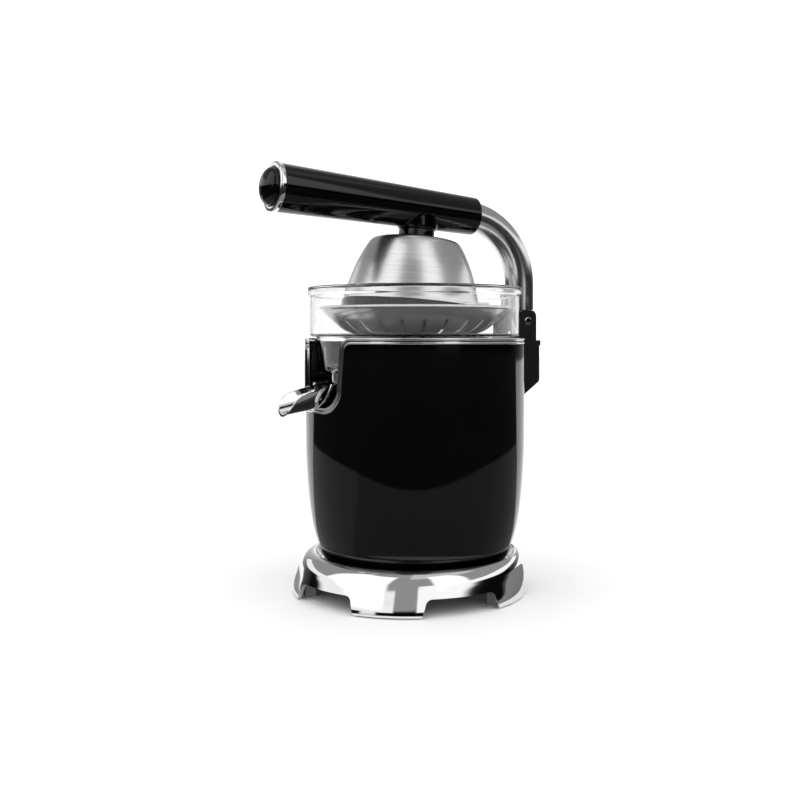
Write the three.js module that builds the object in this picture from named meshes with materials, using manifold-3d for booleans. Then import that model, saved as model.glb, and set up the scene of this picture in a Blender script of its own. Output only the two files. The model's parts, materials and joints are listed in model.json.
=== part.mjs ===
// Lever-press citrus juicer, millimetres, +Z up, spout and handle end towards -Y.
//
// A chrome base stands on five feet. A round housing on it holds the motor, a two-stage
// gear train and the upright spindle. A clear bowl, a slotted strainer and the reamer cone
// stand on top. A bent tube arm, hinged at the back, carries the steel press dome and the
// grip. Inside this file the juicing axis is X = Y = 0 and the table is z = 0; the finished
// group is moved along Y so that the middle of the whole object is the origin.
import * as THREE from 'three';
import { mergeVertices } from 'three/addons/utils/BufferGeometryUtils.js';
import Module from 'manifold-3d';

// ---- driving dimensions ----------------------------------------------------------------
const ORIGIN_SHIFT_Y = 7.5;      // moves the juicing axis off the middle of the whole object
const GAP = 0.3;                 // clearance between pieces that touch on the real object
const ROUND = 32;                // flats round a large turned piece
const SMALL_ROUND = 16;          // flats round a small turned piece

const BASE_Y = -5;               // the base is set forward of the juicing axis
const BASE_RADIUS = 85;
const BASE_TOP_Z = 23.2;         // the plate that the housing stands on
const BASE_CREST_RADIUS = 73.8;  // the raised ring round the housing's foot
const BASE_CREST_Z = 29;
const BASE_WALL = 2.3;
const FOOT_COUNT = 5;
const FIRST_FOOT_DEG = 51.2;     // measured from -Y towards +X
const NOTCH_TOP_Z = 12.5;

const SHELL_RADIUS = 80;
const SHELL_WALL = 2.5;
const SHELL_BOTTOM_Z = BASE_TOP_Z + GAP;
const SHELL_TOP_Z = 178.7;
const RIM_TOP_Z = 183.3;
const RIM_RADIUS = 80.5;

const WINDOW_HALF_WIDTH = 32.5;  // outside of the trim near its top
const WINDOW_NARROWING = 2;      // how much narrower each side is near the bottom
const WINDOW_BOTTOM_Z = 131;
const WINDOW_CORNER = 18;
const WINDOW_FLARE = 5;
const TRIM_WIDTH = 2.5;

const SEAT_FLOOR_Z = 154;
const BOWL_FLOOR_Z = 158;
const BOWL_RADIUS = 76.5;
const BOWL_TOP_Z = 219.5;
const BOWL_WALL = 2.4;
const NOZZLE_Y = -60;
const NOZZLE_BOTTOM_Z = 151.5;

const STRAINER_RADIUS = 70;
const STRAINER_RIM_Z = 205.7;
const SLOT_COUNT = 24;
const SLOT_WIDTH = 2.2;

const SPINDLE_RADIUS = 4;
const SPINDLE_BOTTOM_Z = 84.5;
const SPINDLE_TOP_Z = 213.5;

const PINION_TEETH = 9;
const IDLER_TEETH = 36;
const FIRST_MODULE = 1;
const IDLER_PINION_TEETH = 10;
const OUTPUT_TEETH = 36;
const SECOND_MODULE = 1.5;
const IDLER_BEARING_DEG = 140;   // direction of the idler from the spindle
const MOTOR_BEARING_DEG = 35;    // direction of the motor from the idler

const SPRING_BOTTOM_Z = 117.6;
const SPRING_TOP_Z = 135.4;
const SPRING_RADIUS = 5.9;
const SPRING_WIRE = 0.6;
const SPRING_TURNS = 5;

const PLATE_Z = 88;
const COVER_Z = 118;
const LEG_RING_RADIUS = 56;
const LEG_ANGLES_DEG = [30, 150, 270];

const MOTOR_RADIUS = 24;
const MOTOR_BOTTOM_Z = 36;
const MOTOR_TOP_Z = 84;
const MOTOR_SHAFT_RADIUS = 2.5;

const HINGE_Y = 89.5;
const HINGE_Z = 195.7;
const HINGE_PIN_RADIUS = 2.85;
const BRACKET_HALF_WIDTH = 16;
const FORK_HALF_GAP = 11.5;
const BRACKET_TOP_Z = 181;
const BRACKET_REAR_Y = 101.5;
const BRACKET_SCREW_X = 9;
const BRACKET_SCREW_Z = 147;
const KNUCKLE_RADIUS = 8.3;

const GLAND_RADIUS = 5;          // cord gland through the back of the housing
const GLAND_Z = 42;

const TUBE_RADIUS = 11;
const TUBE_BORE = 9.4;
const TUBE_Y = 92.5;
const TUBE_BOTTOM_Z = 204;
const BEND_RADIUS = 51;
const BEND_Z = 224.3;
const GRIP_RISE_DEG = 4;
const GRIP_LENGTH = 157.5;
const GRIP_REAR_BACK = 4.8;      // the grip's rear end, back from where the bend ends
const GRIP_REAR_RADIUS = 14.1;
const GRIP_FRONT_RADIUS = 16.9;
const GRIP_RING_RADIUS = 17.7;
const GRIP_RING_LENGTH = 4;
const GRIP_CAP_RADIUS = 13.5;
const GRIP_CAP_LENGTH = 8.7;

const DOME_Y = -3.5;
const DOME_EDGE_Z = 205;
const DOME_LEAN_DEG = 5;
const DOME_RADIUS = 50;
const DOME_STEEL_BOTTOM = 3.4;   // the steel ends this far above the dome's lower edge
const DOME_NECK_HEIGHT = 51.4;
const BOSS_RADIUS = 14.25;

const SPOUT_PITCH_DEG = 12.2;
const SPOUT_TIP_Y = -104;
const SPOUT_TIP_Z = 128.9;
const SPOUT_RADIUS = 15;
const SPOUT_WALL = 1.3;
const SPOUT_PIVOT_Y = -49;
const SPOUT_PIVOT_Z = 143;

// ---- helpers ---------------------------------------------------------------------------
const wasm = await Module();
wasm.setup();

const radians = THREE.MathUtils.degToRad;

function toSolid(geometry) {
  const bare = geometry.clone();
  bare.deleteAttribute('normal');
  bare.deleteAttribute('uv');
  const merged = mergeVertices(bare, 1e-4);
  const corners = merged.index.array;
  const kept = [];
  for (let i = 0; i < corners.length; i += 3) {
    const [a, b, c] = [corners[i], corners[i + 1], corners[i + 2]];
    if (a !== b && b !== c && c !== a) kept.push(a, b, c);
  }
  const vertProperties = new Float32Array(merged.attributes.position.array);
  if (signedVolume(vertProperties, kept) < 0) kept.reverse();
  const triVerts = new Uint32Array(kept);
  return new wasm.Manifold(new wasm.Mesh({ numProp: 3, vertProperties, triVerts }));
}

function signedVolume(points, corners) {
  const [a, b, c] = [new THREE.Vector3(), new THREE.Vector3(), new THREE.Vector3()];
  let volume = 0;
  for (let i = 0; i < corners.length; i += 3) {
    a.fromArray(points, corners[i] * 3);
    b.fromArray(points, corners[i + 1] * 3);
    c.fromArray(points, corners[i + 2] * 3);
    volume += a.dot(b.cross(c)) / 6;
  }
  return volume;
}

function toGeometry(solid) {
  const mesh = solid.getMesh();
  const geometry = new THREE.BufferGeometry();
  geometry.setAttribute('position', new THREE.BufferAttribute(mesh.vertProperties, 3));
  geometry.setIndex(new THREE.BufferAttribute(mesh.triVerts, 1));
  geometry.computeVertexNormals();
  return geometry;
}

// A solid of revolution about Z from [radius, z] pairs.
function turned(profile, flats = SMALL_ROUND) {
  const outline = profile.map(([radius, z]) => new THREE.Vector2(radius, z));
  const onAxis = outline[0].x === 0 && outline[outline.length - 1].x === 0;
  if (!onAxis) outline.push(outline[0].clone());
  return toSolid(new THREE.LatheGeometry(outline, flats).rotateX(Math.PI / 2));
}

// A ring or, with inner = 0, a disc or rod, standing along Z.
function ring(outer, inner, bottom, top, flats = SMALL_ROUND) {
  if (inner === 0) return turned([[0, bottom], [outer, bottom], [outer, top], [0, top]], flats);
  return turned([[inner, bottom], [outer, bottom], [outer, top], [inner, top]], flats);
}

function outlineOf(points) {
  return new THREE.Shape(points.map(([x, y]) => new THREE.Vector2(x, y)));
}

// Extrudes an XY outline upwards.
function upright(shape, bottom, top, curveSegments = 8) {
  const options = { depth: top - bottom, bevelEnabled: false, curveSegments };
  return toSolid(new THREE.ExtrudeGeometry(shape, options).translate(0, 0, bottom));
}

// Extrudes a side outline, drawn in (Y, Z), across X.
function across(shape, halfWidth, curveSegments = 8) {
  const options = { depth: 2 * halfWidth, bevelEnabled: false, curveSegments };
  const turn = new THREE.Matrix4().makeBasis(
    new THREE.Vector3(0, 1, 0), new THREE.Vector3(0, 0, 1), new THREE.Vector3(1, 0, 0));
  const geometry = new THREE.ExtrudeGeometry(shape, options).translate(0, 0, -halfWidth);
  return toSolid(geometry.applyMatrix4(turn));
}

// Extrudes a front outline, drawn in (X, Z), from rearY forwards to frontY.
function through(shape, frontY, rearY, curveSegments = 8) {
  const options = { depth: rearY - frontY, bevelEnabled: false, curveSegments };
  const turn = new THREE.Matrix4().makeBasis(
    new THREE.Vector3(1, 0, 0), new THREE.Vector3(0, 0, 1), new THREE.Vector3(0, -1, 0));
  const geometry = new THREE.ExtrudeGeometry(shape, options).applyMatrix4(turn);
  return toSolid(geometry.translate(0, rearY, 0));
}

function block(lowest, highest) {
  const size = highest.map((value, axis) => value - lowest[axis]);
  const middle = highest.map((value, axis) => (value + lowest[axis]) / 2);
  return toSolid(new THREE.BoxGeometry(...size).translate(...middle));
}

// A rod of round section along X, through (y, z).
function crossRod(radius, halfLength, y, z) {
  const rod = new THREE.CylinderGeometry(radius, radius, 2 * halfLength, SMALL_ROUND);
  return toSolid(rod.rotateZ(Math.PI / 2).translate(0, y, z));
}

function polar(radius, degrees) {
  return [radius * Math.cos(radians(degrees)), radius * Math.sin(radians(degrees))];
}

function joined(solids) {
  return solids.reduce((whole, next) => whole.add(next));
}

const finishes = {
  chrome: { color: 0xd8d9da, roughness: 0.08, metalness: 1 },
  brushed: { color: 0xb9babb, roughness: 0.35, metalness: 1 },
  satin: { color: 0xc4c5c6, roughness: 0.22, metalness: 1 },
  stainless: { color: 0xc9cacb, roughness: 0.18, metalness: 1 },
  black: { color: 0x060607, roughness: 0.12, metalness: 0 },
  dark: { color: 0x17181a, roughness: 0.5, metalness: 0 },
  clear: { color: 0xe4ecef, roughness: 0.05, metalness: 0, transparent: true, opacity: 0.3 },
  rubber: { color: 0x101011, roughness: 0.85, metalness: 0 },
  nylon: { color: 0xe6e3d8, roughness: 0.5, metalness: 0 },
  steel: { color: 0x8d9093, roughness: 0.35, metalness: 1 },
  brass: { color: 0xb08d3c, roughness: 0.35, metalness: 1 },
  magnet: { color: 0x2c2b2a, roughness: 0.7, metalness: 0 },
};

const juicer = new THREE.Group();
juicer.position.y = ORIGIN_SHIFT_Y;

function place(name, solid, finish, group = juicer) {
  const mesh = new THREE.Mesh(toGeometry(solid), new THREE.MeshStandardMaterial(finishes[finish]));
  mesh.name = name;
  group.add(mesh);
}

// A screw standing along +Z, head below, with its head's underside at the origin.
function screw(headRadius, headHeight, shankRadius, shankLength) {
  return turned([
    [0, -headHeight], [headRadius, -headHeight], [headRadius, 0],
    [shankRadius, 0], [shankRadius, shankLength], [0, shankLength],
  ], 10);
}

// ---- base ------------------------------------------------------------------------------
function baseRing() {
  const underside = BASE_TOP_Z - BASE_WALL;
  const profile = [
    [30, BASE_TOP_Z], [68.2, BASE_TOP_Z], [70.6, 26], [72.1, 28.3], [BASE_CREST_RADIUS, BASE_CREST_Z],
    [76, 28.2], [78, 26.2], [79.8, 22.9], [81, 19.2], [82.8, 12.5], [84.3, 6], [BASE_RADIUS, 0.8],
    [82.7, 0.8], [82, 6], [80.5, 12.5], [78.6, 18.5], [76.5, 23.2], [74.4, 24.8], [72.4, 23.4],
    [70.4, underside], [30, underside],
  ];
  let ringSolid = turned(profile, ROUND).warp(leanTowardsAxis);
  for (let foot = 0; foot < FOOT_COUNT; foot += 1) {
    ringSolid = ringSolid.subtract(footNotch(FIRST_FOOT_DEG + (foot + 0.5) * 360 / FOOT_COUNT));
  }
  for (const degrees of LEG_ANGLES_DEG) {
    const [x, y] = polar(LEG_RING_RADIUS, degrees);
    ringSolid = ringSolid.subtract(ring(2.1, 0, 18, 30, 12).translate([x, y - BASE_Y, 0]));
  }
  return ringSolid;
}

// The foot end of the base is set forward, but its crest is concentric with the housing, so
// each ring of the shoulder is moved back by its share of the offset.
function leanTowardsAxis(point) {
  const radius = Math.hypot(point[0], point[1]);
  const share = (BASE_RADIUS - radius) / (BASE_RADIUS - BASE_CREST_RADIUS);
  point[1] -= BASE_Y * THREE.MathUtils.clamp(share, 0, 1);
}

// The gap between two feet: a trapezium with rounded upper corners, cut through the wall.
function footNotch(directionDeg) {
  const [halfBottom, halfTop, corner] = [30.5, 24.5, 5];
  const notch = new THREE.Shape();
  notch.moveTo(-halfBottom, -2);
  notch.lineTo(halfBottom, -2);
  notch.lineTo(halfTop + 2, NOTCH_TOP_Z - corner);
  notch.quadraticCurveTo(halfTop, NOTCH_TOP_Z, halfTop - corner, NOTCH_TOP_Z);
  notch.lineTo(corner - halfTop, NOTCH_TOP_Z);
  notch.quadraticCurveTo(-halfTop, NOTCH_TOP_Z, -halfTop - 2, NOTCH_TOP_Z - corner);
  return through(notch, -BASE_RADIUS - 5, -BASE_RADIUS + 22, 4).rotate([0, 0, directionDeg]);
}

// A block under each foot, an arc of a ring about the base's own axis.
function footPad(directionDeg) {
  const [inner, outer, halfAngle] = [70, 77.5, radians(12)];
  const arc = new THREE.Shape();
  arc.absarc(0, 0, outer, -halfAngle, halfAngle, false);
  arc.absarc(0, 0, inner, halfAngle, -halfAngle, true);
  return upright(arc, 0, NOTCH_TOP_Z, 6).rotate([0, 0, directionDeg - 90]);
}

function bottomCover() {
  const disc = new THREE.Shape();
  disc.absarc(0, 0, 75.5, 0, 2 * Math.PI, false);
  for (let vent = 0; vent < 6; vent += 1) {
    disc.holes.push(ventHole(vent * 60));
  }
  let cover = upright(disc, NOTCH_TOP_Z + GAP, NOTCH_TOP_Z + GAP + 2.2, 18);
  for (const degrees of [90, 210, 330]) {
    const [x, y] = polar(64, degrees);
    cover = cover.subtract(ring(2.1, 0, 10, 20, 12).translate([x, y, 0]));
  }
  return cover;
}

function ventHole(directionDeg) {
  const corners = [[18, -2], [38, -2], [38, 2], [18, 2]];
  const turnedCorners = corners.map(([x, y]) => {
    const point = new THREE.Vector2(x, y).rotateAround(new THREE.Vector2(), radians(directionDeg));
    return [point.x, point.y];
  });
  return outlineOf(turnedCorners);
}

const base = new THREE.Group();
base.position.y = BASE_Y;
juicer.add(base);

place('base_ring', baseRing(), 'chrome', base);
for (let foot = 0; foot < FOOT_COUNT; foot += 1) {
  place(`foot_pad_${foot + 1}`, footPad(FIRST_FOOT_DEG + foot * 360 / FOOT_COUNT), 'rubber', base);
}
place('bottom_cover', bottomCover(), 'dark', base);
[90, 210, 330].forEach((degrees, index) => {
  const [x, y] = polar(64, degrees);
  const coverScrew = screw(3.5, 1.8, 1.8, 7.9).translate([x, y, NOTCH_TOP_Z]);
  place(`cover_screw_${index + 1}`, coverScrew, 'steel', base);
});
LEG_ANGLES_DEG.forEach((degrees, index) => {
  const [x, y] = polar(LEG_RING_RADIUS, degrees);
  const headZ = BASE_TOP_Z - BASE_WALL - GAP;
  place(`housing_screw_${index + 1}`, screw(3.5, 2.4, 1.8, 11).translate([x, y, headZ]), 'steel');
});

// ---- housing ---------------------------------------------------------------------------
// Outside radius of the housing at height z: upright above the waist, drawn in towards the base.
const housingOutline = new THREE.SplineCurve([
  new THREE.Vector2(66.3, SHELL_BOTTOM_Z),
  new THREE.Vector2(70.9, 36),
  new THREE.Vector2(74.3, 48),
  new THREE.Vector2(77.2, 67),
  new THREE.Vector2(79.2, 94),
  new THREE.Vector2(SHELL_RADIUS - 0.3, 120),
  new THREE.Vector2(SHELL_RADIUS - 0.1, SHELL_TOP_Z),
]);

function windowOutline(inset, ceiling) {
  const halfTop = WINDOW_HALF_WIDTH - inset;
  const halfBottom = halfTop - WINDOW_NARROWING;
  const corner = WINDOW_CORNER - inset;
  const bottom = WINDOW_BOTTOM_Z + inset;
  const flareX = WINDOW_HALF_WIDTH + WINDOW_FLARE;
  const flareZ = SHELL_TOP_Z + GAP - WINDOW_FLARE;
  const flareHeight = inset > 0 ? RIM_TOP_Z - flareZ + 0.01 : WINDOW_FLARE + inset;
  const flareWidth = flareX - halfTop;
  const outline = new THREE.Shape();
  outline.moveTo(0, bottom);
  outline.lineTo(halfBottom - corner, bottom);
  outline.absarc(halfBottom - corner, bottom + corner, corner, -Math.PI / 2, 0, false);
  outline.lineTo(halfTop, flareZ);
  outline.absellipse(flareX, flareZ, flareWidth, flareHeight, Math.PI, Math.PI / 2, true, 0);
  outline.lineTo(flareX, ceiling);
  outline.lineTo(-flareX, ceiling);
  outline.lineTo(-flareX, flareZ + flareHeight);
  outline.absellipse(-flareX, flareZ, flareWidth, flareHeight, Math.PI / 2, 0, true, 0);
  outline.lineTo(-halfBottom, bottom + corner);
  outline.absarc(corner - halfBottom, bottom + corner, corner, Math.PI, 1.5 * Math.PI, false);
  return outline;
}

function windowCutter(inset) {
  return through(windowOutline(inset, RIM_TOP_Z + 10), -95, -50, 6);
}

function housingShell() {
  const outer = housingOutline.getPoints(5).map((point) => [point.x, point.y]);
  const inner = outer.slice(1).map(([radius, z]) => [radius - SHELL_WALL, z]).reverse();
  const floorTop = SHELL_BOTTOM_Z + SHELL_WALL;
  const profile = [[30, SHELL_BOTTOM_Z], ...outer, ...inner, [60, floorTop], [30, floorTop]];
  let shell = turned(profile, ROUND).subtract(windowCutter(-GAP));
  for (const degrees of LEG_ANGLES_DEG) {
    const [x, y] = polar(LEG_RING_RADIUS, degrees);
    shell = shell.subtract(ring(2.1, 0, 20, 35, 12).translate([x, y, 0]));
  }
  for (const x of [-BRACKET_SCREW_X, BRACKET_SCREW_X]) {
    shell = shell.subtract(backwardRod(2.3, 70, 85).translate([x, 0, BRACKET_SCREW_Z]));
  }
  return shell.subtract(backwardRod(GLAND_RADIUS + GAP, 60, 90).translate([0, 0, GLAND_Z]));
}

// A rod of round section along +Y on the plane of the axis.
function backwardRod(radius, startY, endY) {
  return ring(radius, 0, 0, endY - startY, 16).rotate([-90, 0, 0]).translate([0, startY, 0]);
}

function rimTrim() {
  const band = turned([
    [73.2, SHELL_TOP_Z + GAP], [RIM_RADIUS, SHELL_TOP_Z + GAP], [RIM_RADIUS, RIM_TOP_Z - 0.8],
    [RIM_RADIUS - 0.8, RIM_TOP_Z], [73.2, RIM_TOP_Z],
  ], ROUND).subtract(windowCutter(TRIM_WIDTH));
  const wall = ring(RIM_RADIUS, SHELL_RADIUS - 3, WINDOW_BOTTOM_Z - 4, RIM_TOP_Z - 0.8, ROUND);
  const frame = wall.intersect(windowCutter(0)).subtract(windowCutter(TRIM_WIDTH));
  return band.add(frame);
}

function spoutBay() {
  const outside = block([-33, -80, 126], [33, -40, 152]).intersect(ring(76.3, 0, 120, 160, ROUND));
  const room = block([-30.5, -90, 128.5], [30.5, -42.5, 160]);
  const pivotHole = crossRod(2.3, 40, SPOUT_PIVOT_Y, SPOUT_PIVOT_Z);
  return outside.subtract(room).subtract(pivotHole);
}

// The moulded floor and inner wall that the bowl stands in.
function bowlSeat() {
  const seat = turned([
    [7.3, SEAT_FLOOR_Z], [76.2, SEAT_FLOOR_Z], [76.2, 178.6], [73.2, 178.6],
    [72.6, SEAT_FLOOR_Z + 3], [9.2, SEAT_FLOOR_Z + 3], [9.2, 171], [7.3, 171],
  ], ROUND);
  return seat.subtract(block([-34, -90, 150], [34, -44, 190]));
}

function cordGland() {
  const collar = turned([
    [3.4, 0], [GLAND_RADIUS, 0], [GLAND_RADIUS, 8.8], [7.5, 8.8], [6.6, 12], [3.4, 12],
  ], 16);
  return collar.rotate([-90, 0, 0]).translate([0, 66, GLAND_Z]);
}

place('housing_shell', housingShell(), 'black');
place('rim_trim', rimTrim(), 'chrome');
place('bowl_seat', bowlSeat(), 'dark');
place('spout_bay', spoutBay(), 'dark');
place('cord_gland', cordGland(), 'rubber');

// ---- motor -----------------------------------------------------------------------------
const idlerDistance = SECOND_MODULE * (IDLER_PINION_TEETH + OUTPUT_TEETH) / 2;
const pinionDistance = FIRST_MODULE * (PINION_TEETH + IDLER_TEETH) / 2;
const [idlerX, idlerY] = polar(idlerDistance, IDLER_BEARING_DEG);
const [reachX, reachY] = polar(pinionDistance, MOTOR_BEARING_DEG);
const [motorX, motorY] = [idlerX + reachX, idlerY + reachY];

const motor = new THREE.Group();
motor.position.set(motorX, motorY, 0);
juicer.add(motor);

function motorCan() {
  const [top, bottom, wall] = [MOTOR_TOP_Z, MOTOR_BOTTOM_Z, 1.4];
  return turned([
    [5.3, bottom], [MOTOR_RADIUS, bottom], [MOTOR_RADIUS, top], [MOTOR_RADIUS - wall, top],
    [MOTOR_RADIUS - wall, bottom + wall], [5.3, bottom + wall],
  ], 20);
}

function motorMagnet(directionDeg) {
  const [inner, outer, halfAngle] = [18, MOTOR_RADIUS - 1.8, radians(62)];
  const arc = new THREE.Shape();
  arc.absarc(0, 0, outer, -halfAngle, halfAngle, false);
  arc.absarc(0, 0, inner, halfAngle, -halfAngle, true);
  return upright(arc, 45, 77, 6).rotate([0, 0, directionDeg]);
}

function armature() {
  return turned([
    [0, MOTOR_BOTTOM_Z + 0.5], [MOTOR_SHAFT_RADIUS, MOTOR_BOTTOM_Z + 0.5],
    [MOTOR_SHAFT_RADIUS, 46], [10, 47], [16.6, 49], [16.6, 73], [10, 75], [7.5, 76],
    [7.5, 81], [MOTOR_SHAFT_RADIUS, 81.5], [MOTOR_SHAFT_RADIUS, 101.5], [0, 101.5],
  ], 24);
}

place('motor_can', motorCan(), 'steel', motor);
place('motor_end_cap', ring(MOTOR_RADIUS, 5.3, MOTOR_TOP_Z + GAP, PLATE_Z - GAP, 20), 'dark', motor);
place('motor_magnet_left', motorMagnet(180), 'magnet', motor);
place('motor_magnet_right', motorMagnet(0), 'magnet', motor);
place('armature', armature(), 'steel', motor);
place('motor_bearing_lower', ring(5, 2.8, MOTOR_BOTTOM_Z + 0.2, 42, 12), 'brass', motor);
place('motor_bearing_upper', ring(5, 2.8, MOTOR_TOP_Z + 0.5, 88, 12), 'brass', motor);

// ---- gear train ------------------------------------------------------------------------
// A spur gear outline with straight-sided teeth; the first tooth points along firstToothDeg.
function gearOutline(teeth, moduleSize, firstToothDeg) {
  const pitchRadius = teeth * moduleSize / 2;
  const tipRadius = pitchRadius + 0.85 * moduleSize;
  const rootRadius = pitchRadius - 1.15 * moduleSize;
  const pitchAngle = 2 * Math.PI / teeth;
  const toothCorners = [
    [rootRadius, -0.3], [tipRadius, -0.11], [tipRadius, 0.11], [rootRadius, 0.3],
  ];
  const points = [];
  for (let tooth = 0; tooth < teeth; tooth += 1) {
    const middle = radians(firstToothDeg) + tooth * pitchAngle;
    for (const [radius, share] of toothCorners) {
      const angle = middle + share * pitchAngle;
      points.push([radius * Math.cos(angle), radius * Math.sin(angle)]);
    }
  }
  return outlineOf(points);
}

function motorPinion() {
  const toothAtIdler = MOTOR_BEARING_DEG + 180;
  const gear = upright(gearOutline(PINION_TEETH, FIRST_MODULE, toothAtIdler), 94, 100);
  return gear.subtract(ring(MOTOR_SHAFT_RADIUS + GAP, 0, 90, 105, 16));
}

function idlerGear() {
  const gapAtMotor = MOTOR_BEARING_DEG + 180 / IDLER_TEETH;
  const gapAtOutput = IDLER_BEARING_DEG + 180 + 180 / IDLER_PINION_TEETH;
  const wheel = upright(gearOutline(IDLER_TEETH, FIRST_MODULE, gapAtMotor), 94, 100);
  const pinion = upright(gearOutline(IDLER_PINION_TEETH, SECOND_MODULE, gapAtOutput), 99, 112);
  const hub = ring(5.2, 0, 92, 117, 16);
  return joined([wheel, pinion, hub]).subtract(ring(2.3, 0, 90, 120, 12));
}

function outputGear() {
  const wheel = upright(gearOutline(OUTPUT_TEETH, SECOND_MODULE, IDLER_BEARING_DEG), 102, 112);
  const hub = ring(9, 0, 92, 117, 20);
  const pocket = ring(21, 11, 107, 120, 28);
  return wheel.subtract(pocket).add(hub).subtract(ring(SPINDLE_RADIUS + GAP, 0, 85, 130, 20));
}

function gearboxPlate() {
  const legs = LEG_ANGLES_DEG.map((degrees) => {
    const [x, y] = polar(LEG_RING_RADIUS, degrees);
    const leg = ring(4, 0, SHELL_BOTTOM_Z + SHELL_WALL + GAP, PLATE_Z + 1, 12);
    return leg.subtract(ring(2.1, 0, 20, 42, 12)).translate([x, y, 0]);
  });
  const holes = joined([
    ring(SPINDLE_RADIUS + 0.6, 0, 80, 95, 16),
    ring(2.3, 0, 80, 95, 12).translate([idlerX, idlerY, 0]),
    ring(6, 0, 80, 95, 16).translate([motorX, motorY, 0]),
  ]);
  return joined([ring(63, 0, PLATE_Z, PLATE_Z + 3.5, 24), ...legs]).subtract(holes);
}

function gearboxCover() {
  const posts = LEG_ANGLES_DEG.map((degrees) => {
    const [x, y] = polar(LEG_RING_RADIUS, degrees);
    return ring(4, 0, PLATE_Z + 3.5 + GAP, COVER_Z + 1, 12).translate([x, y, 0]);
  });
  const holes = joined([
    ring(9.5, 0, COVER_Z - 2, COVER_Z + 5, 16),
    ring(2.3, 0, COVER_Z - 2, COVER_Z + 5, 12).translate([idlerX, idlerY, 0]),
  ]);
  return joined([ring(62, 0, COVER_Z, COVER_Z + 3, 24), ...posts]).subtract(holes);
}

place('gearbox_plate', gearboxPlate(), 'dark');
place('gearbox_cover', gearboxCover(), 'dark');
const idlerAxle = ring(2, 0, PLATE_Z + GAP, COVER_Z + 4, 12);
place('idler_axle', idlerAxle.translate([idlerX, idlerY, 0]), 'steel');
place('idler_gear', idlerGear().translate([idlerX, idlerY, 0]), 'nylon');
place('output_gear', outputGear(), 'nylon');
place('motor_pinion', motorPinion(), 'brass', motor);

// ---- spindle, its return spring and the switch under it ----------------------------------
class Helix extends THREE.Curve {
  getPoint(share, target = new THREE.Vector3()) {
    const angle = share * SPRING_TURNS * 2 * Math.PI;
    const rise = SPRING_TOP_Z - SPRING_BOTTOM_Z - 2 * SPRING_WIRE;
    return target.set(
      SPRING_RADIUS * Math.cos(angle), SPRING_RADIUS * Math.sin(angle),
      SPRING_BOTTOM_Z + SPRING_WIRE + share * rise);
  }
}

function returnSpring() {
  const section = new THREE.Shape();
  section.absarc(0, 0, SPRING_WIRE, 0, 2 * Math.PI, false);
  const options = { steps: 40, extrudePath: new Helix(), curveSegments: 3 };
  return toSolid(new THREE.ExtrudeGeometry(section, options));
}

function spindle() {
  return turned([
    [0, SPINDLE_BOTTOM_Z], [SPINDLE_RADIUS - 0.8, SPINDLE_BOTTOM_Z],
    [SPINDLE_RADIUS, SPINDLE_BOTTOM_Z + 0.8], [SPINDLE_RADIUS, 136], [7, 136], [7, 138.5],
    [SPINDLE_RADIUS, 138.5], [SPINDLE_RADIUS, SPINDLE_TOP_Z - 1],
    [SPINDLE_RADIUS - 1, SPINDLE_TOP_Z], [0, SPINDLE_TOP_Z],
  ]);
}

function microswitch() {
  return block([-6, -3.2, 68], [13.7, 3.2, 79.5]).subtract(ring(1.9, 0, 72.5, 90, 12));
}

function switchBracket() {
  const angle = outlineOf([
    [-6, 65.5], [16.3, 65.5], [16.3, 87.6], [14, 87.6], [14, 67.7], [-6, 67.7],
  ]);
  return through(angle, -5, 5);
}

place('spindle', spindle(), 'steel');
place('return_spring', returnSpring(), 'steel');
place('microswitch', microswitch(), 'dark');
place('switch_plunger', ring(1.5, 0, 76.2, SPINDLE_BOTTOM_Z - GAP, 12), 'nylon');
place('switch_bracket', switchBracket(), 'steel');
place('spindle_bush', ring(7, SPINDLE_RADIUS + GAP, 159, 167, 20), 'brass');
place('spindle_seal', ring(7, SPINDLE_RADIUS + GAP, 167.3, 170.5, 20), 'rubber');

// ---- bowl, strainer and cone -------------------------------------------------------------
function bowl() {
  const [wall, floor, top] = [BOWL_WALL, BOWL_FLOOR_Z, BOWL_TOP_Z];
  const shoulderZ = RIM_TOP_Z + 0.4;
  const cup = turned([
    [9.8, floor], [65, floor], [68, floor + 1.5], [69.2, floor + 5], [71, 177], [72, shoulderZ - 1],
    [73.5, shoulderZ], [BOWL_RADIUS, shoulderZ + 0.6], [BOWL_RADIUS, top - 6.5],
    [BOWL_RADIUS + 1.7, top - 5.5], [BOWL_RADIUS + 1.7, top - 0.8], [BOWL_RADIUS + 1, top],
    [BOWL_RADIUS - 0.8, top], [BOWL_RADIUS - wall, top - 2], [BOWL_RADIUS - wall, shoulderZ + 3],
    [70, shoulderZ + 1.4], [71 - wall, 177], [66.5, floor + 5], [64.5, floor + wall],
    [12, floor + wall], [12, 178], [9.8, 178],
  ], ROUND);
  const nozzle = ring(7, 0, NOZZLE_BOTTOM_Z, floor + 1, 20).translate([0, NOZZLE_Y, 0]);
  const outlet = ring(5.4, 0, NOZZLE_BOTTOM_Z - 1, floor + 10, 20).translate([0, NOZZLE_Y, 0]);
  return cup.add(nozzle).subtract(outlet);
}

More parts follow.
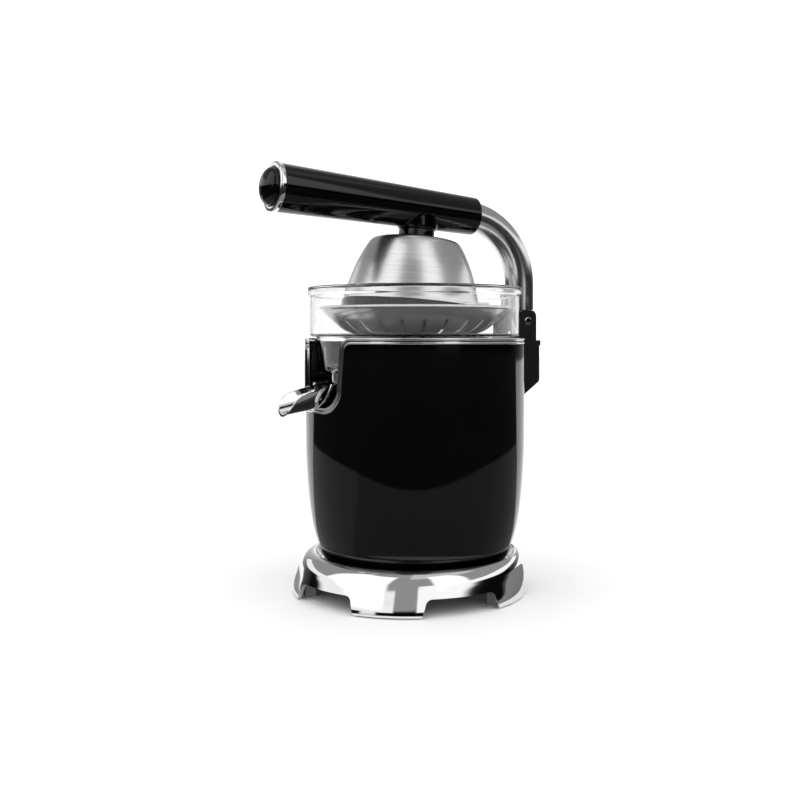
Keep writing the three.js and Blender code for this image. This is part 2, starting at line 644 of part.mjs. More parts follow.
function strainer() {
  const dish = new THREE.SplineCurve([
    new THREE.Vector2(37, 184.2), new THREE.Vector2(50, 187.7),
    new THREE.Vector2(60, 195.2), new THREE.Vector2(68, STRAINER_RIM_Z - 2.2),
  ]).getPoints(4).map((point) => [point.x, point.y]);
  const sheet = 0.8;
  const upper = dish.map(([radius, z]) => [radius - 0.3, z + sheet]).reverse();
  let plate = turned([
    [5, 178.4], [13.5, 178.4], [16, 184], ...dish, [STRAINER_RADIUS, STRAINER_RIM_Z - 1],
    [STRAINER_RADIUS, STRAINER_RIM_Z], [STRAINER_RADIUS - 1.8, STRAINER_RIM_Z], ...upper,
    [15.4, 184 + sheet], [12.8, 178.4 + sheet], [5, 178.4 + sheet],
  ], SLOT_COUNT);
  const cutter = block([42, -SLOT_WIDTH / 2, 180], [60.6, SLOT_WIDTH / 2, 210]);
  for (let index = 0; index < SLOT_COUNT; index += 1) {
    plate = plate.subtract(cutter.rotate([0, 0, (index + 0.5) * 360 / SLOT_COUNT]));
  }
  return plate;
}

function reamerCone() {
  const core = turned([
    [0, SPINDLE_TOP_Z + 0.6], [SPINDLE_RADIUS + GAP, SPINDLE_TOP_Z + 0.6],
    [SPINDLE_RADIUS + GAP, 183], [9, 183], [9, 189], [33, 189], [33, 190.4], [24, 192.5],
    [19, 205], [11, 221], [4, 232], [0, 236],
  ]);
  const fin = outlineOf([[8, 189.5], [31, 189.5], [26, 207], [17, 222], [3, 236.4], [3, 225]]);
  const blade = across(fin, 1.4);
  const blades = [];
  for (let index = 0; index < 8; index += 1) {
    blades.push(blade.rotate([0, 0, index * 45]));
  }
  return joined([core, ...blades]);
}

place('bowl', bowl(), 'clear');
place('strainer', strainer(), 'stainless');
place('reamer_cone', reamerCone(), 'dark');

// ---- spout -----------------------------------------------------------------------------
// Drawn level, with the tip's bottom at the origin and the channel running back along +Y.
const spout = new THREE.Group();
spout.position.set(0, SPOUT_TIP_Y, SPOUT_TIP_Z);
spout.rotation.x = radians(SPOUT_PITCH_DEG);
juicer.add(spout);

const [rearTopY, rearBottomY] = [35.5, 25.7];

function spoutChute() {
  const side = new THREE.Shape();
  side.moveTo(0, 0);
  side.quadraticCurveTo(3.8, 8.8, 10.3, 11.8);
  side.quadraticCurveTo(14, 13.5, 19.5, 13.6);
  side.lineTo(31.8, 13.8);
  side.quadraticCurveTo(34, 14.2, rearTopY, SPOUT_RADIUS);
  side.lineTo(rearBottomY, -1);
  side.lineTo(0, -1);
  const pipe = ring(SPOUT_RADIUS, SPOUT_RADIUS - SPOUT_WALL, 0, 60, 32);
  const lowerHalf = pipe.rotate([-90, 0, 0]).translate([0, -5, SPOUT_RADIUS]);
  return lowerHalf.intersect(across(side, 20, 4));
}

function spoutHolder() {
  const side = outlineOf([
    [rearBottomY + GAP, -0.6], [rearTopY + GAP, SPOUT_RADIUS], [42, SPOUT_RADIUS],
    [60.5, 7.5], [60.5, -1.5], [52, -1.5], [50, -0.6],
  ]);
  const boreRadius = SPOUT_RADIUS - SPOUT_WALL;
  const channel = backwardRod(boreRadius, 0, 56).translate([0, 0, SPOUT_RADIUS]);
  const opening = block([-boreRadius, 0, SPOUT_RADIUS - 1], [boreRadius, 56, 30]);
  const pivotHole = crossRod(2.3, 30, pivotLocal.y, pivotLocal.z);
  const roundedSides = backwardRod(16.4, 0, 70).translate([0, 0, SPOUT_RADIUS]);
  const body = across(side, 16.4).intersect(roundedSides);
  return body.subtract(channel).subtract(opening).subtract(pivotHole);
}

const pivotLocal = new THREE.Vector3(0, SPOUT_PIVOT_Y - SPOUT_TIP_Y, SPOUT_PIVOT_Z - SPOUT_TIP_Z)
  .applyAxisAngle(new THREE.Vector3(1, 0, 0), -radians(SPOUT_PITCH_DEG));

place('spout_chute', spoutChute(), 'chrome', spout);
place('spout_holder', spoutHolder(), 'black', spout);
place('drip_plug', ring(4.2, 0, 2.6, 10, 16).translate([0, 46, 0]), 'rubber', spout);
place('spout_pivot_pin', crossRod(2, 32.5, SPOUT_PIVOT_Y, SPOUT_PIVOT_Z), 'steel');

// ---- hinge -----------------------------------------------------------------------------
function hingeBracket() {
  const earRadius = 8.05;
  const side = new THREE.Shape();
  side.moveTo(76, 136);
  side.lineTo(81, 136);
  side.lineTo(100.4, 149.8);
  side.lineTo(100.4, BRACKET_TOP_Z - 4);
  side.lineTo(BRACKET_REAR_Y, BRACKET_TOP_Z - 4);
  side.lineTo(BRACKET_REAR_Y, BRACKET_TOP_Z);
  side.lineTo(HINGE_Y + earRadius, BRACKET_TOP_Z);
  side.absarc(HINGE_Y, HINGE_Z, earRadius, 0, Math.PI, false);
  side.lineTo(HINGE_Y - earRadius, BRACKET_TOP_Z);
  side.lineTo(76, BRACKET_TOP_Z);
  const forkGap = block([-FORK_HALF_GAP, 70, BRACKET_TOP_Z], [FORK_HALF_GAP, 110, 230]);
  let bracket = across(side, BRACKET_HALF_WIDTH, 10).subtract(forkGap);
  bracket = bracket.subtract(ring(RIM_RADIUS + GAP, 0, 130, 190, ROUND));
  bracket = bracket.subtract(crossRod(HINGE_PIN_RADIUS + GAP, 30, HINGE_Y, HINGE_Z));
  for (const x of [-BRACKET_SCREW_X, BRACKET_SCREW_X]) {
    bracket = bracket.subtract(backwardRod(2.3, 70, 93).translate([x, 0, BRACKET_SCREW_Z]));
  }
  return bracket;
}

place('hinge_bracket', hingeBracket(), 'black');
place('hinge_pin', crossRod(HINGE_PIN_RADIUS, 16.8, HINGE_Y, HINGE_Z), 'chrome');
[['left', -1], ['right', 1]].forEach(([side, sign]) => {
  const bracketScrew = screw(4, 2.5, 2, 16).rotate([-90, 0, 0]);
  const seated = bracketScrew.translate([sign * BRACKET_SCREW_X, 76, BRACKET_SCREW_Z]);
  place(`bracket_screw_${side}`, seated, 'steel');
});

// ---- arm -------------------------------------------------------------------------------
const bendDeg = 90 - GRIP_RISE_DEG;
const gripRun = GRIP_LENGTH - 20;
const [bendEndY, bendEndZ] = [
  TUBE_Y - BEND_RADIUS + BEND_RADIUS * Math.cos(radians(bendDeg)),
  BEND_Z + BEND_RADIUS * Math.sin(radians(bendDeg)),
];

// The arm's centre line: up from the hinge, round the bend, then forwards inside the grip.
class ArmLine extends THREE.Curve {
  constructor(startZ, runLength) {
    super();
    this.rise = BEND_Z - startZ;
    this.bend = BEND_RADIUS * radians(bendDeg);
    this.run = runLength;
    this.startZ = startZ;
  }
  getPoint(share, target = new THREE.Vector3()) {
    const along = share * (this.rise + this.bend + this.run);
    if (along < this.rise) return target.set(0, TUBE_Y, this.startZ + along);
    if (along < this.rise + this.bend) {
      const angle = (along - this.rise) / BEND_RADIUS;
      const y = TUBE_Y - BEND_RADIUS + BEND_RADIUS * Math.cos(angle);
      return target.set(0, y, BEND_Z + BEND_RADIUS * Math.sin(angle));
    }
    const onward = along - this.rise - this.bend;
    const slope = radians(GRIP_RISE_DEG);
    return target.set(0, bendEndY - onward * Math.cos(slope), bendEndZ + onward * Math.sin(slope));
  }
  getPointAt(share, target) {
    return this.getPoint(share, target);
  }
}

function armSweep(radius, bore, startZ, runLength) {
  const section = new THREE.Shape();
  section.absarc(0, 0, radius, 0, 2 * Math.PI, false);
  if (bore > 0) {
    const hollow = new THREE.Path();
    hollow.absarc(0, 0, bore, 0, 2 * Math.PI, true);
    section.holes.push(hollow);
  }
  const options = { steps: 16, extrudePath: new ArmLine(startZ, runLength), curveSegments: 8 };
  return toSolid(new THREE.ExtrudeGeometry(section, options));
}

// Turned pieces on the grip's own axis; z = 0 is the grip's rear end.
function onGripAxis(solid) {
  const slope = radians(GRIP_RISE_DEG);
  return solid.rotate([90 - GRIP_RISE_DEG, 0, 0]).translate([
    0, bendEndY + GRIP_REAR_BACK * Math.cos(slope), bendEndZ - GRIP_REAR_BACK * Math.sin(slope)]);
}

function onDomeAxis(solid) {
  return solid.rotate([-DOME_LEAN_DEG, 0, 0]).translate([0, DOME_Y, DOME_EDGE_Z]);
}

function gripSleeve() {
  const body = onGripAxis(turned([
    [0, 0], [GRIP_REAR_RADIUS - 2, 0], [GRIP_REAR_RADIUS - 0.6, 0.6], [GRIP_REAR_RADIUS, 2],
    [GRIP_FRONT_RADIUS, GRIP_LENGTH], [0, GRIP_LENGTH],
  ], 24));
  const boss = onDomeAxis(ring(BOSS_RADIUS, 0, DOME_NECK_HEIGHT + 6.1, 72, 28));
  const stub = onGripAxis(ring(6, 0, GRIP_LENGTH - 20, GRIP_LENGTH + 2, 16));
  const boltHole = onDomeAxis(ring(4.3, 0, 50, 63, 16));
  const tubeEnd = GRIP_REAR_BACK + gripRun;
  const endRoom = onGripAxis(ring(TUBE_RADIUS + GAP, 0, tubeEnd - 8, tubeEnd + GAP, 16));
  const bore = armSweep(TUBE_RADIUS + GAP, 0, TUBE_BOTTOM_Z, gripRun).add(endRoom);
  return body.add(boss).subtract(stub).subtract(boltHole).subtract(bore);
}

function gripCap() {
  const start = GRIP_LENGTH + GRIP_RING_LENGTH + 2 * GAP;
  const radius = GRIP_CAP_RADIUS;
  const dome = new THREE.EllipseCurve(0, start + 2, radius, GRIP_CAP_LENGTH - 2, 0, Math.PI / 2);
  const profile = dome.getPoints(4).map((point) => [Math.max(point.x, 0), point.y]);
  profile[profile.length - 1][0] = 0;
  const stem = [[0, GRIP_LENGTH - 12], [5.7, GRIP_LENGTH - 12], [5.7, start], [radius, start]];
  return onGripAxis(turned([...stem, ...profile], 20));
}

function gripRing() {
  const [start, end, edge] = [GRIP_LENGTH + GAP, GRIP_LENGTH + GAP + GRIP_RING_LENGTH, 0.6];
  return onGripAxis(turned([
    [6, start], [GRIP_RING_RADIUS - edge, start], [GRIP_RING_RADIUS, start + edge],
    [GRIP_RING_RADIUS, end - edge], [GRIP_RING_RADIUS - edge, end], [6, end],
  ], 24));
}

function armKnuckle() {
  const side = new THREE.Shape();
  side.moveTo(HINGE_Y + KNUCKLE_RADIUS, HINGE_Z);
  side.lineTo(TUBE_Y + 8.7, TUBE_BOTTOM_Z - GAP);
  side.lineTo(TUBE_Y - 10, TUBE_BOTTOM_Z - GAP);
  side.lineTo(HINGE_Y - KNUCKLE_RADIUS, HINGE_Z);
  side.absarc(HINGE_Y, HINGE_Z, KNUCKLE_RADIUS, Math.PI, 2 * Math.PI, false);
  const tongue = across(side, FORK_HALF_GAP - 0.4, 8);
  const plug = ring(TUBE_BORE - GAP, 0, TUBE_BOTTOM_Z - 2, TUBE_BOTTOM_Z + 14, 24);
  const pinHole = crossRod(HINGE_PIN_RADIUS + GAP, 30, HINGE_Y, HINGE_Z);
  return tongue.add(plug.translate([0, TUBE_Y, 0])).subtract(pinHole);
}

place('arm_knuckle', armKnuckle(), 'dark');
place('arm_tube', armSweep(TUBE_RADIUS, TUBE_BORE, TUBE_BOTTOM_Z, gripRun), 'satin');
place('grip_sleeve', gripSleeve(), 'black');
place('grip_ring', gripRing(), 'chrome');
place('grip_cap', gripCap(), 'black');

// ---- press dome --------------------------------------------------------------------------
// Heights are above the steel's lower edge, along the dome's own leaning axis.
const domeSide = new THREE.SplineCurve([
  new THREE.Vector2(DOME_RADIUS - 0.3, DOME_STEEL_BOTTOM), new THREE.Vector2(48.6, 9.5),
  new THREE.Vector2(43.6, 26), new THREE.Vector2(39.9, 35), new THREE.Vector2(35.4, 43.8),
  new THREE.Vector2(32.2, 48.2), new THREE.Vector2(27.5, 50), new THREE.Vector2(14, DOME_NECK_HEIGHT),
]).getPoints(7);

// The side drawn in by inset, and lowered in proportion to its height.
function domeProfile(inset) {
  const squeeze = 1 - inset / DOME_NECK_HEIGHT;
  return domeSide.map((point) => [Math.max(point.x - inset, 4.3), point.y * squeeze]);
}

function pressDome() {
  const [outer, inner] = [domeProfile(0), domeProfile(1.2).reverse()];
  const top = DOME_NECK_HEIGHT;
  return turned([...outer, [4.3, top], [4.3, top - 1.2], ...inner], ROUND);
}

function domeLiner() {
  const [outer, inner] = [domeProfile(1.5), domeProfile(3.7).reverse()];
  const top = DOME_NECK_HEIGHT;
  const lipTop = DOME_STEEL_BOTTOM - GAP;
  const lip = [
    [DOME_RADIUS - 3.7, -4.2], [DOME_RADIUS - 2.6, -4.7], [DOME_RADIUS, -4.5],
    [DOME_RADIUS + 0.9, -3.2], [DOME_RADIUS + 0.9, lipTop - 0.6], [DOME_RADIUS + 0.3, lipTop],
    [DOME_RADIUS - 1.8, lipTop],
  ];
  return turned([...lip, ...outer, [4.3, top - 1.5], [4.3, top - 3.7], ...inner], ROUND);
}

function domeBolt() {
  const underLiner = DOME_NECK_HEIGHT - 4;
  return onDomeAxis(screw(7, 4, 4, 62 - underLiner).translate([0, 0, underLiner]));
}

const collar = ring(13, 4.3, DOME_NECK_HEIGHT + GAP, DOME_NECK_HEIGHT + 5.8, 28);
place('dome_collar', onDomeAxis(collar), 'black');
place('press_dome', onDomeAxis(pressDome()), 'brushed');
place('dome_liner', onDomeAxis(domeLiner()), 'black');
place('dome_bolt', domeBolt(), 'steel');

export default juicer;
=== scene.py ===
"""Looks for the lever-press citrus juicer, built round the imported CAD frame.

Sizes named here are millimetres; meshes are made in metres. The juicing axis, the bowl's own
axis, comes from the frame. -Y is the spout and handle end, +Z is up.
"""
import json
import math

import bmesh
import bpy
from mathutils import Matrix, Vector


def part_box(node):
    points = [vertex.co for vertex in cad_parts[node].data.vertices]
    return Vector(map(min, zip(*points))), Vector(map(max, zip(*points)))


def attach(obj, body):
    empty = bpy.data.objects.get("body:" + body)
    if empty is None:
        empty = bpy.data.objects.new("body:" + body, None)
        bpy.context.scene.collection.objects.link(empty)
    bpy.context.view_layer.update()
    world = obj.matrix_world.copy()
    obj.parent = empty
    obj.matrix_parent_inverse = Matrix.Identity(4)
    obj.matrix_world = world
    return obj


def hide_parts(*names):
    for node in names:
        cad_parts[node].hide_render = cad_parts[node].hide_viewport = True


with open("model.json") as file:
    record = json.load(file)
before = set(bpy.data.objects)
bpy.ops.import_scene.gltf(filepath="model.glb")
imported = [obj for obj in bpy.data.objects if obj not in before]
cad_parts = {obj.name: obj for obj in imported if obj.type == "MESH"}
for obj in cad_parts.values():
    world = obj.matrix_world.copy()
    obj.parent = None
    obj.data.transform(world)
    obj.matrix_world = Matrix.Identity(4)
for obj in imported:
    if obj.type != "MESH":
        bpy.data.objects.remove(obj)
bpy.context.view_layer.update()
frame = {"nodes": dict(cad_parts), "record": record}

MM = 0.001
FINE = 160                   # flats round a large turned piece
MEDIUM = 96

bowl_low, bowl_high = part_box("bowl")
AXIS = Vector((0, (bowl_low.y + bowl_high.y) / 2, 0))

# Camera, as fitted to the photograph: level, with the framing done by a small shift.
CAMERA_AZIMUTH_DEG = 61.0
CAMERA_DISTANCE = 0.747
CAMERA_HEIGHT = 0.185
CAMERA_LENS = 45.8
CAMERA_SHIFT = (-0.01875, -0.08125)

BASE_Y = -5.0
BASE_RADIUS = 85.0
BASE_TOP_Z = 23.2
BASE_CREST_RADIUS = 73.8
BASE_WALL = 2.3
FIRST_FOOT_DEG = 51.2
FOOT_COUNT = 5
NOTCH_TOP_Z = 12.5
SHELL_RADIUS = 80.0
SHELL_TOP_Z = 178.7
RIM_TOP_Z = 183.3
RIM_RADIUS = 80.5
WINDOW_HALF_WIDTH = 32.5
WINDOW_BOTTOM_Z = 131.0
WINDOW_CORNER = 18.0
WINDOW_FLARE = 5.0
TRIM_WIDTH = 3.4
TRIM_DEPTH = 1.75            # half of the bead's thickness
BOWL_FLOOR_Z = 158.0
BOWL_RADIUS = 76.5
BOWL_TOP_Z = 219.5
BOWL_WALL = 2.4
NOZZLE_Y = -60.0
STRAINER_RADIUS = 70.0
STRAINER_RIM_Z = 205.7
SLOT_COUNT = 24
SLOT_INNER = 43.0            # middles of a slot's rounded ends, out from the axis
SLOT_OUTER = 59.5
SLOT_HALF_WIDTH = 1.1
DOME_Y = -3.5
DOME_EDGE_Z = 205.0
DOME_LEAN_DEG = 5.0
DOME_RADIUS = 50.0
DOME_STEEL_BOTTOM = 3.4
DOME_NECK_HEIGHT = 51.4
TUBE_RADIUS = 11.0
TUBE_BORE = 9.4
TUBE_Y = 92.5
TUBE_BOTTOM_Z = 204.0
BEND_RADIUS = 51.0
BEND_Z = 224.3
GRIP_RISE_DEG = 4.0
GRIP_LENGTH = 157.5
GRIP_REAR_BACK = 4.8         # the grip's rear end, back from where the bend ends
GRIP_REAR_RADIUS = 14.1
GRIP_FRONT_RADIUS = 16.9
GRIP_RING_RADIUS = 17.7
GRIP_CAP_RADIUS = 13.5
BOSS_RADIUS = 14.25
HINGE_Y = 89.5
HINGE_Z = 195.7
BRACKET_HALF_WIDTH = 16.0
PIN_HOLE_RADIUS = 3.1
KNUCKLE_RADIUS = 8.3
SPOUT_PITCH_DEG = 12.2
SPOUT_TIP_Y = -104.0
SPOUT_TIP_Z = 128.9
SPOUT_RADIUS = 15.0
SPOUT_WALL = 1.3


# ---- mesh tools ------------------------------------------------------------------------
def make_object(name, points, faces, place=Matrix.Identity(4), sharp_deg=32):
    """A smooth-shaded mesh object from points in mm about the juicing axis."""
    mesh = bpy.data.meshes.new(name)
    mesh.from_pydata([Vector(p) * MM for p in points], [], faces)
    mesh.validate()
    shell = bmesh.new()
    shell.from_mesh(mesh)
    bmesh.ops.remove_doubles(shell, verts=shell.verts, dist=1e-7)
    bmesh.ops.recalc_face_normals(shell, faces=shell.faces)
    shell.to_mesh(mesh)
    shell.free()
    mesh.shade_smooth()
    mesh.set_sharp_from_angle(angle=math.radians(sharp_deg))
    piece = bpy.data.objects.new(name, mesh)
    bpy.context.scene.collection.objects.link(piece)
    piece.matrix_world = Matrix.Translation(AXIS) @ place
    return piece


def placed(y=0.0, z=0.0, tilt_deg=0.0):
    """A place on the X = 0 plane, turned about X."""
    return Matrix.Translation((0, y * MM, z * MM)) @ Matrix.Rotation(math.radians(tilt_deg), 4, "X")


def rounded(corners, steps=5):
    """An outline from (x, y, fillet radius) corners, each fillet an arc."""
    outline = []
    count = len(corners)
    for index, (x, y, fillet) in enumerate(corners):
        here = Vector((x, y))
        before = Vector(corners[index - 1][:2]) - here
        after = Vector(corners[(index + 1) % count][:2]) - here
        if fillet <= 0:
            outline.append((x, y))
            continue
        half = max(before.angle(after) / 2, 0.01)
        reach = min(fillet / math.tan(half), 0.49 * before.length, 0.49 * after.length)
        start = here + before.normalized() * reach
        end = here + after.normalized() * reach
        for step in range(steps + 1):
            share = step / steps
            point = start.lerp(here, share).lerp(here.lerp(end, share), share)
            outline.append((point.x, point.y))
    return outline


def sharp(points):
    """Outline points as corners without a fillet."""
    return [(x, y, 0) for x, y in points]


def spline(points, per_span=6):
    """A Catmull-Rom curve through the points."""
    ends = [points[0]] + list(points) + [points[-1]]
    curve = []
    for i in range(1, len(ends) - 2):
        p0, p1, p2, p3 = (Vector(ends[i + k]) for k in (-1, 0, 1, 2))
        for step in range(per_span):
            t = step / per_span
            curve.append(tuple(0.5 * (2 * p1 + (p2 - p0) * t + (2 * p0 - 5 * p1 + 4 * p2 - p3) * t * t
                                      + (3 * p1 - p0 - 3 * p2 + p3) * t ** 3)))
    curve.append(tuple(points[-1]))
    return curve


def arc(centre, radius, start_deg, end_deg, steps):
    """Points along an arc of a circle, both ends included."""
    points = []
    for step in range(steps + 1):
        angle = math.radians(start_deg + (end_deg - start_deg) * step / steps)
        points.append((centre[0] + radius * math.cos(angle), centre[1] + radius * math.sin(angle)))
    return points


def bend(start, control, end, steps=10):
    """A quadratic curve from start to end."""
    start, control, end = Vector(start), Vector(control), Vector(end)
    points = []
    for step in range(steps + 1):
        t = step / steps
        points.append(tuple(start * (1 - t) ** 2 + control * 2 * t * (1 - t) + end * t * t))
    return points


def revolve(name, outline, flats=FINE, place=Matrix.Identity(4), sharp_deg=32):
    """Turns an outline of (radius, z) about Z; an outline off the axis closes on itself."""
    points, faces = [], []
    count = len(outline)
    closed = outline[0][0] > 1e-6 or outline[-1][0] > 1e-6
    for flat in range(flats):
        angle = 2 * math.pi * flat / flats
        points += [(r * math.cos(angle), r * math.sin(angle), z) for r, z in outline]
    for flat in range(flats):
        here, there = flat * count, ((flat + 1) % flats) * count
        for i in range(count if closed else count - 1):
            j = (i + 1) % count
            faces.append((here + i, there + i, there + j, here + j))
    return make_object(name, points, faces, place, sharp_deg)


def extrude(name, outline, low, high, along, place=Matrix.Identity(4), sharp_deg=32):
    """Extrudes a closed outline between two planes. along is X for (Y, Z) outlines,
    Y for (X, Z) and Z for (X, Y)."""
    order = {"X": lambda a, b, c: (c, a, b), "Y": lambda a, b, c: (a, c, b), "Z": lambda a, b, c: (a, b, c)}
    count = len(outline)
    points = [order[along](a, b, level) for level in (low, high) for a, b in outline]
    faces = [tuple(range(count)), tuple(range(2 * count - 1, count - 1, -1))]
    faces += [(i, (i + 1) % count, count + (i + 1) % count, count + i) for i in range(count)]
    return make_object(name, points, faces, place, sharp_deg)


def sweep(name, path, section, closed=False, outward=None, place=Matrix.Identity(4), sharp_deg=32):
    """Runs a closed section of (side, out) pairs along a path. outward gives the out
    direction at a path point; without it the frame is carried along unturned."""
    count, size = len(path), len(section)
    points, faces = [], []
    path = [Vector(p) for p in path]
    out = None
    for i, here in enumerate(path):
        ahead = path[(i + 1) % count] if closed or i < count - 1 else here
        behind = path[i - 1] if closed or i > 0 else here
        tangent = (ahead - behind).normalized()
        if outward is not None:
            out = outward(here)
        elif out is None:
            out = tangent.orthogonal()
        out = (out - tangent * out.dot(tangent)).normalized()
        side = tangent.cross(out)
        points += [here + side * a + out * b for a, b in section]
    for i in range(count if closed else count - 1):
        j = (i + 1) % count
        for k in range(size):
            m = (k + 1) % size
            faces.append((i * size + k, i * size + m, j * size + m, j * size + k))
    if not closed:
        faces += [tuple(range(size)), tuple(range((count - 1) * size, count * size))]
    return make_object(name, points, faces, place, sharp_deg)


def circle(radius, sides):
    turn = 2 * math.pi / sides
    return [(radius * math.cos(k * turn), radius * math.sin(k * turn)) for k in range(sides)]


def apply_modifiers(piece, sharp_deg=32):
    graph = bpy.context.evaluated_depsgraph_get()
    mesh = bpy.data.meshes.new_from_object(piece.evaluated_get(graph))
    piece.modifiers.clear()
    piece.data = mesh
    mesh.shade_smooth()
    mesh.set_sharp_from_angle(angle=math.radians(sharp_deg))


def combine(piece, others, operation, sharp_deg=32):
    """Cuts (DIFFERENCE), joins (UNION) or trims (INTERSECT) a piece by others, and drops them."""
    for other in others:
        boolean = piece.modifiers.new("combine", "BOOLEAN")
        boolean.operation = operation
        boolean.solver = "EXACT"
        boolean.object = other
    apply_modifiers(piece, sharp_deg)
    for other in others:
        bpy.data.objects.remove(other)
    return piece


def soften(piece, width, segments=3, angle_deg=38):
    """Rounds a piece's edges and evens out the shading beside them."""
    bevel = piece.modifiers.new("rounding", "BEVEL")
    bevel.width = width * MM
    bevel.segments = segments
    bevel.limit_method = "ANGLE"
    bevel.angle_limit = math.radians(angle_deg)
    bevel.use_clamp_overlap = True
    even = piece.modifiers.new("even_shading", "WEIGHTED_NORMAL")
    even.keep_sharp = True
    return piece


def show(piece, body, nodes, material):
    """Gives a piece its material, hangs it on the empty of the body it rides on and hides the CAD nodes it
    stands for.
    """
    piece.data.materials.clear()
    piece.data.materials.append(material)
    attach(piece, body)
    if nodes:
        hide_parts(*nodes)
    return piece


# ---- materials -------------------------------------------------------------------------
def start_material(name, color, metallic, roughness, **settings):
    material = bpy.data.materials.new(name)
    material.use_nodes = True
    tree = material.node_tree
    shader = tree.nodes["Principled BSDF"]
    shader.inputs["Base Color"].default_value = (*color, 1)
    shader.inputs["Metallic"].default_value = metallic
    shader.inputs["Roughness"].default_value = roughness
    for socket, value in settings.items():
        shader.inputs[socket.replace("_", " ")].default_value = value
    return material, tree, shader


def noise_field(tree, scale, stretch=(1, 1, 1), detail=3.0, vector=None):
    """Noise over the object's own coordinates, in metres, stretched per axis."""
    mapping = tree.nodes.new("ShaderNodeMapping")
    mapping.inputs["Scale"].default_value = stretch
    if vector is None:
        vector = tree.nodes.new("ShaderNodeTexCoord").outputs["Object"]
    tree.links.new(vector, mapping.inputs["Vector"])
    noise = tree.nodes.new("ShaderNodeTexNoise")
    noise.inputs["Scale"].default_value = scale
    noise.inputs["Detail"].default_value = detail
    tree.links.new(mapping.outputs["Vector"], noise.inputs["Vector"])
    return noise.outputs["Fac"]


def vary(tree, field, socket, low, high):
    """Drives a shader socket between two values from a noise field."""
    spread = tree.nodes.new("ShaderNodeMapRange")
    spread.inputs["From Min"].default_value = 0.3
    spread.inputs["From Max"].default_value = 0.7
    spread.inputs["To Min"].default_value = low
    spread.inputs["To Max"].default_value = high
    tree.links.new(field, spread.inputs["Value"])
    tree.links.new(spread.outputs["Result"], socket)


def tint(tree, field, socket, dark, light):
    ramp = tree.nodes.new("ShaderNodeValToRGB")
    ramp.color_ramp.elements[0].position = 0.3
    ramp.color_ramp.elements[0].color = (*dark, 1)
    ramp.color_ramp.elements[1].position = 0.7
    ramp.color_ramp.elements[1].color = (*light, 1)
    tree.links.new(field, ramp.inputs["Fac"])
    tree.links.new(ramp.outputs["Color"], socket)


def bump(tree, field, shader, height_mm, strength=1.0):
    node = tree.nodes.new("ShaderNodeBump")
    node.inputs["Strength"].default_value = strength
    node.inputs["Distance"].default_value = height_mm * MM
    tree.links.new(field, node.inputs["Height"])
    tree.links.new(node.outputs["Normal"], shader.inputs["Normal"])


def around_axis(tree):
    """Object coordinates as (angle, radius, height), for marks that run round Z."""
    place = tree.nodes.new("ShaderNodeTexCoord").outputs["Object"]
    parts = tree.nodes.new("ShaderNodeSeparateXYZ")
    tree.links.new(place, parts.inputs["Vector"])
    angle = tree.nodes.new("ShaderNodeMath")
    angle.operation = "ARCTAN2"
    tree.links.new(parts.outputs["Y"], angle.inputs[0])
    tree.links.new(parts.outputs["X"], angle.inputs[1])
    flat = tree.nodes.new("ShaderNodeCombineXYZ")
    tree.links.new(parts.outputs["X"], flat.inputs["X"])
    tree.links.new(parts.outputs["Y"], flat.inputs["Y"])
    length = tree.nodes.new("ShaderNodeVectorMath")
    length.operation = "LENGTH"
    tree.links.new(flat.outputs["Vector"], length.inputs[0])
    result = tree.nodes.new("ShaderNodeCombineXYZ")
    tree.links.new(angle.outputs["Value"], result.inputs["X"])
    tree.links.new(length.outputs["Value"], result.inputs["Y"])
    tree.links.new(parts.outputs["Z"], result.inputs["Z"])
    return result.outputs["Vector"]


def chrome_material():
    material, tree, shader = start_material("chrome", (0.82, 0.82, 0.83), 1.0, 0.06)
    vary(tree, noise_field(tree, 55, detail=6), shader.inputs["Roughness"], 0.035, 0.085)
    tint(tree, noise_field(tree, 20), shader.inputs["Base Color"],
         (0.80, 0.80, 0.81), (0.86, 0.86, 0.865))
    bump(tree, noise_field(tree, 22, detail=1), shader, 0.05, 0.4)
    return material


def spun_material(name, dark, light, roughness, anisotropy, metallic=1.0):
    """Sheet metal brushed or spun round its own axis: fine rings, broken up round the turn."""
    material, tree, shader = start_material(name, light, metallic, roughness[1])
    shader.inputs["Anisotropic"].default_value = anisotropy
    tangent = tree.nodes.new("ShaderNodeTangent")
    tangent.direction_type = "RADIAL"
    tangent.axis = "Z"
    tree.links.new(tangent.outputs["Tangent"], shader.inputs["Tangent"])
    rings = noise_field(tree, 1, (3.5, 3400, 5200), 3, around_axis(tree))
    broad = noise_field(tree, 1, (1.2, 900, 1300), 2, around_axis(tree))
    vary(tree, rings, shader.inputs["Roughness"], *roughness)
    tint(tree, broad, shader.inputs["Base Color"], dark, light)
    bump(tree, rings, shader, 0.004, 0.35)
    return material


def tube_material():
    material, tree, shader = start_material("satin_tube", (0.74, 0.74, 0.75), 1.0, 0.2)
    grain = noise_field(tree, 1, (3000, 120, 120), 4)
    vary(tree, grain, shader.inputs["Roughness"], 0.15, 0.25)
    tint(tree, noise_field(tree, 60), shader.inputs["Base Color"],
         (0.70, 0.70, 0.71), (0.78, 0.78, 0.785))
    bump(tree, grain, shader, 0.01, 0.3)
    return material


def gloss_material(name, roughness=0.045):
    """Piano-black moulding: a faint flow waviness, and dust and handling in the gloss."""
    material, tree, shader = start_material(name, (0.001, 0.001, 0.0011), 0.0, roughness, IOR=1.46)
    vary(tree, noise_field(tree, 35, detail=8), shader.inputs["Roughness"],
         roughness * 0.7, roughness * 1.6)
    tint(tree, noise_field(tree, 12), shader.inputs["Base Color"],
         (0.0006, 0.0006, 0.0007), (0.0014, 0.0014, 0.0015))
    bump(tree, noise_field(tree, 160, detail=2), shader, 0.006, 0.25)
    return material


